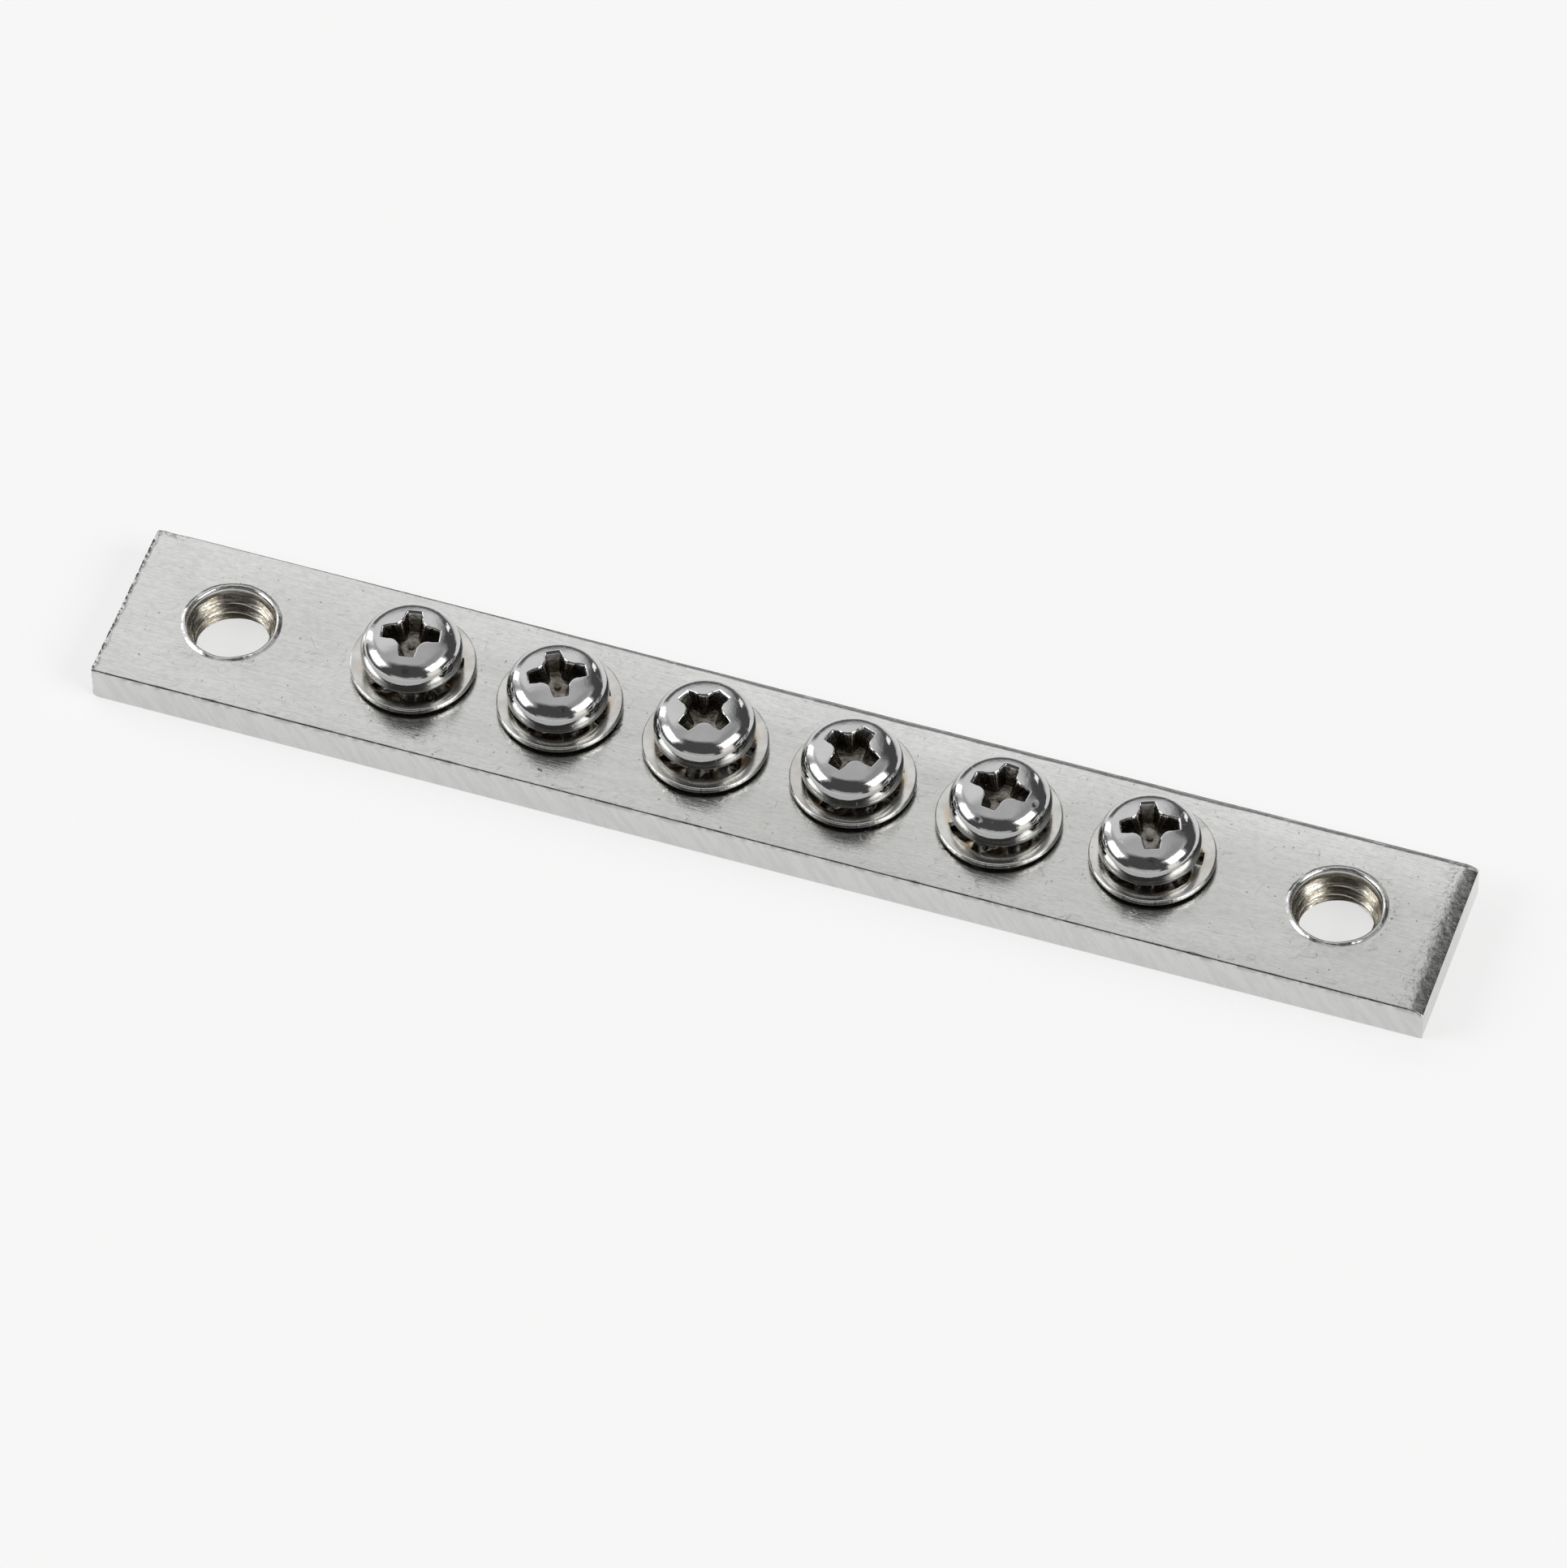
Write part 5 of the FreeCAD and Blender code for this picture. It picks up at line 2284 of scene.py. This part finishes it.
    def add_tent(self) -> None:
        """Adds the tent of pale and dark panels that the metal reflects."""
        mesh = bpy.data.meshes.new("light_tent")
        draft = bmesh.new()
        bmesh.ops.create_icosphere(draft, subdivisions=self.tent_steps, radius=self.tent_radius)
        below = [vertex for vertex in draft.verts if vertex.co.z < self.tent_foot * self.tent_radius]
        bmesh.ops.delete(draft, geom=below, context="VERTS")
        bmesh.ops.reverse_faces(draft, faces=draft.faces)
        towards = np.array([vertex.co.normalized() for vertex in draft.verts])
        draft.to_mesh(mesh)
        draft.free()
        glow = np.full((len(towards), 3), self.tent_base)
        for panel in self.panels:
            share = panel.share(towards)[:, None]
            glow += (np.array(panel.colour) - glow) * share
        layer = mesh.attributes.new("glow", "FLOAT_COLOR", "POINT")
        colours = np.column_stack([glow, np.ones(len(glow))])
        layer.data.foreach_set("color", colours.astype(np.float32).reshape(-1))
        tent = bpy.data.objects.new("light_tent", mesh)
        tent.visible_camera = False
        bpy.context.scene.collection.objects.link(tent)
        material = bpy.data.materials.new("light_tent")
        material.use_nodes = True
        tree = material.node_tree
        tree.nodes.clear()
        graph = Graph(tree)
        emission = graph.node("Emission")
        graph.feed(emission.inputs["Color"], graph.node("Attribute", attribute_name="glow").outputs["Color"])
        output = graph.node("OutputMaterial")
        graph.feed(output.inputs["Surface"], emission.outputs[0])
        mesh.materials.append(material)

    def add_world(self) -> None:
        """Sets the plain white world that shows past the floor."""
        world = bpy.data.worlds.new("white_room")
        world.use_nodes = True
        background = world.node_tree.nodes["Background"]
        background.inputs["Color"].default_value = self.room_colour
        background.inputs["Strength"].default_value = 1.0
        bpy.context.scene.world = world

    def build(self) -> None:
        """Builds the whole studio."""
        self.add_camera()
        self.add_floor()
        self.add_tent()
        self.add_world()
        for lamp in self.lamps:
            lamp.build()
        bpy.context.scene.view_settings.view_transform = "Standard"


@dataclass(frozen=True)
class Terminal:
    """How far one screw and its washer are turned, in degrees, and the screw's dents."""

    screw_turn: float
    washer_turn: float
    dents: tuple[Dent, ...] = ()


TERMINALS = (
    Terminal(11.0, 36.0, (Dent(282.0, 3.0, 1.94, 0.09, 0.2),)),
    Terminal(28.0, 10.0, (Dent(296.0, 2.95, 1.99, 0.07, 0.16),)),
    Terminal(64.0, 25.0),
    Terminal(71.0, 8.0),
    Terminal(83.0, 16.0, (Dent(258.0, 2.98, 1.97, 0.05, 0.13), Dent(348.0, 2.71, 2.15, 0.07, 0.16))),
    Terminal(22.0, 30.0, (Dent(289.0, 2.87, 2.05, 0.07, 0.17),)),
)


@dataclass
class TerminalBar:
    """The whole object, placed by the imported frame."""

    effects: Effects
    thread_depth: float = 0.45
    thread_pitch: float = 1.0

    def seats(self) -> list[Vector]:
        """Where each screw's head bears, in millimetres, from the joints of the frame."""
        turns = {joint["child"]: joint["pos_m"] for joint in frame["joints"] if joint["type"] == "hinge"}
        return [Vector(turns[f"screw_{number}"]) / MM for number in range(1, len(TERMINALS) + 1)]

    def busbar(self) -> Busbar:
        """The bar's sizes, from the frame."""
        low, high = (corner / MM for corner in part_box("busbar"))
        mounts = {mount["name"]: mount for mount in frame["record"]["mounts"]}
        holes = []
        for name in ("left_mounting_hole", "right_mounting_hole"):
            radius = mounts[name]["dims"]["r_mm"]
            thread = ThreadForm(crest=radius, root=radius + self.thread_depth, pitch=self.thread_pitch)
            holes.append(MountingHole(Vector(mounts[name]["pos_m"]) / MM, high.z, thread))
        bores = [TerminalBore(seat, high.z) for seat in self.seats()]
        return Busbar(low.x, high.x, low.y, high.y, high.z, holes, bores)

    def finish_piece(
        self, piece: bpy.types.Object, material: bpy.types.Material, node: str, body: str,
    ) -> None:
        """Dresses a piece and ties it to the frame.

        Args:
            piece: The piece.
            material: Its finish.
            node: The CAD node that it stands for.
            body: The body that it rides on.
        """
        piece.data.materials.append(material)
        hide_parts(node)
        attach(piece, body)
        LOG.info("%s: %d faces for %s, rides on %s", piece.name, len(piece.data.polygons), node, body)

    def build(self) -> None:
        """Builds the bar, the screws and the washers."""
        bar = self.busbar()
        centres = tuple((hole.centre.x, hole.centre.y) for hole in bar.mounting_holes)
        plated = PlatedFinish(self.effects, centres).build()
        polished = PolishedFinish(self.effects).build()
        steel = WasherFinish(self.effects).build()
        self.finish_piece(bar.build(), plated, "busbar", "bar")
        for number, (seat, terminal) in enumerate(zip(self.seats(), TERMINALS), start=1):
            node = f"terminal_screw_{number}"
            shank_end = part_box(node)[0].z / MM - seat.z
            screw = TerminalScrew(number, seat, terminal.screw_turn, shank_end, dents=terminal.dents)
            self.finish_piece(screw.build(), polished, node, f"screw_{number}")
            node = f"lock_washer_{number}"
            low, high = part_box(node)
            washer = LockWasher(number, (low + high) / (2.0 * MM), terminal.washer_turn)
            self.finish_piece(washer.build(), steel, node, f"washer_{number}")


def main() -> None:
    """Builds the studio and the object."""
    logging.basicConfig(level=logging.INFO, format="%(name)s: %(message)s")
    Studio().build()
    effects = Effects(brushed_lines_group(), strokes_group(), specks_group(), tarnish_group())
    TerminalBar(effects).build()


if __name__ == "__main__":
    main()
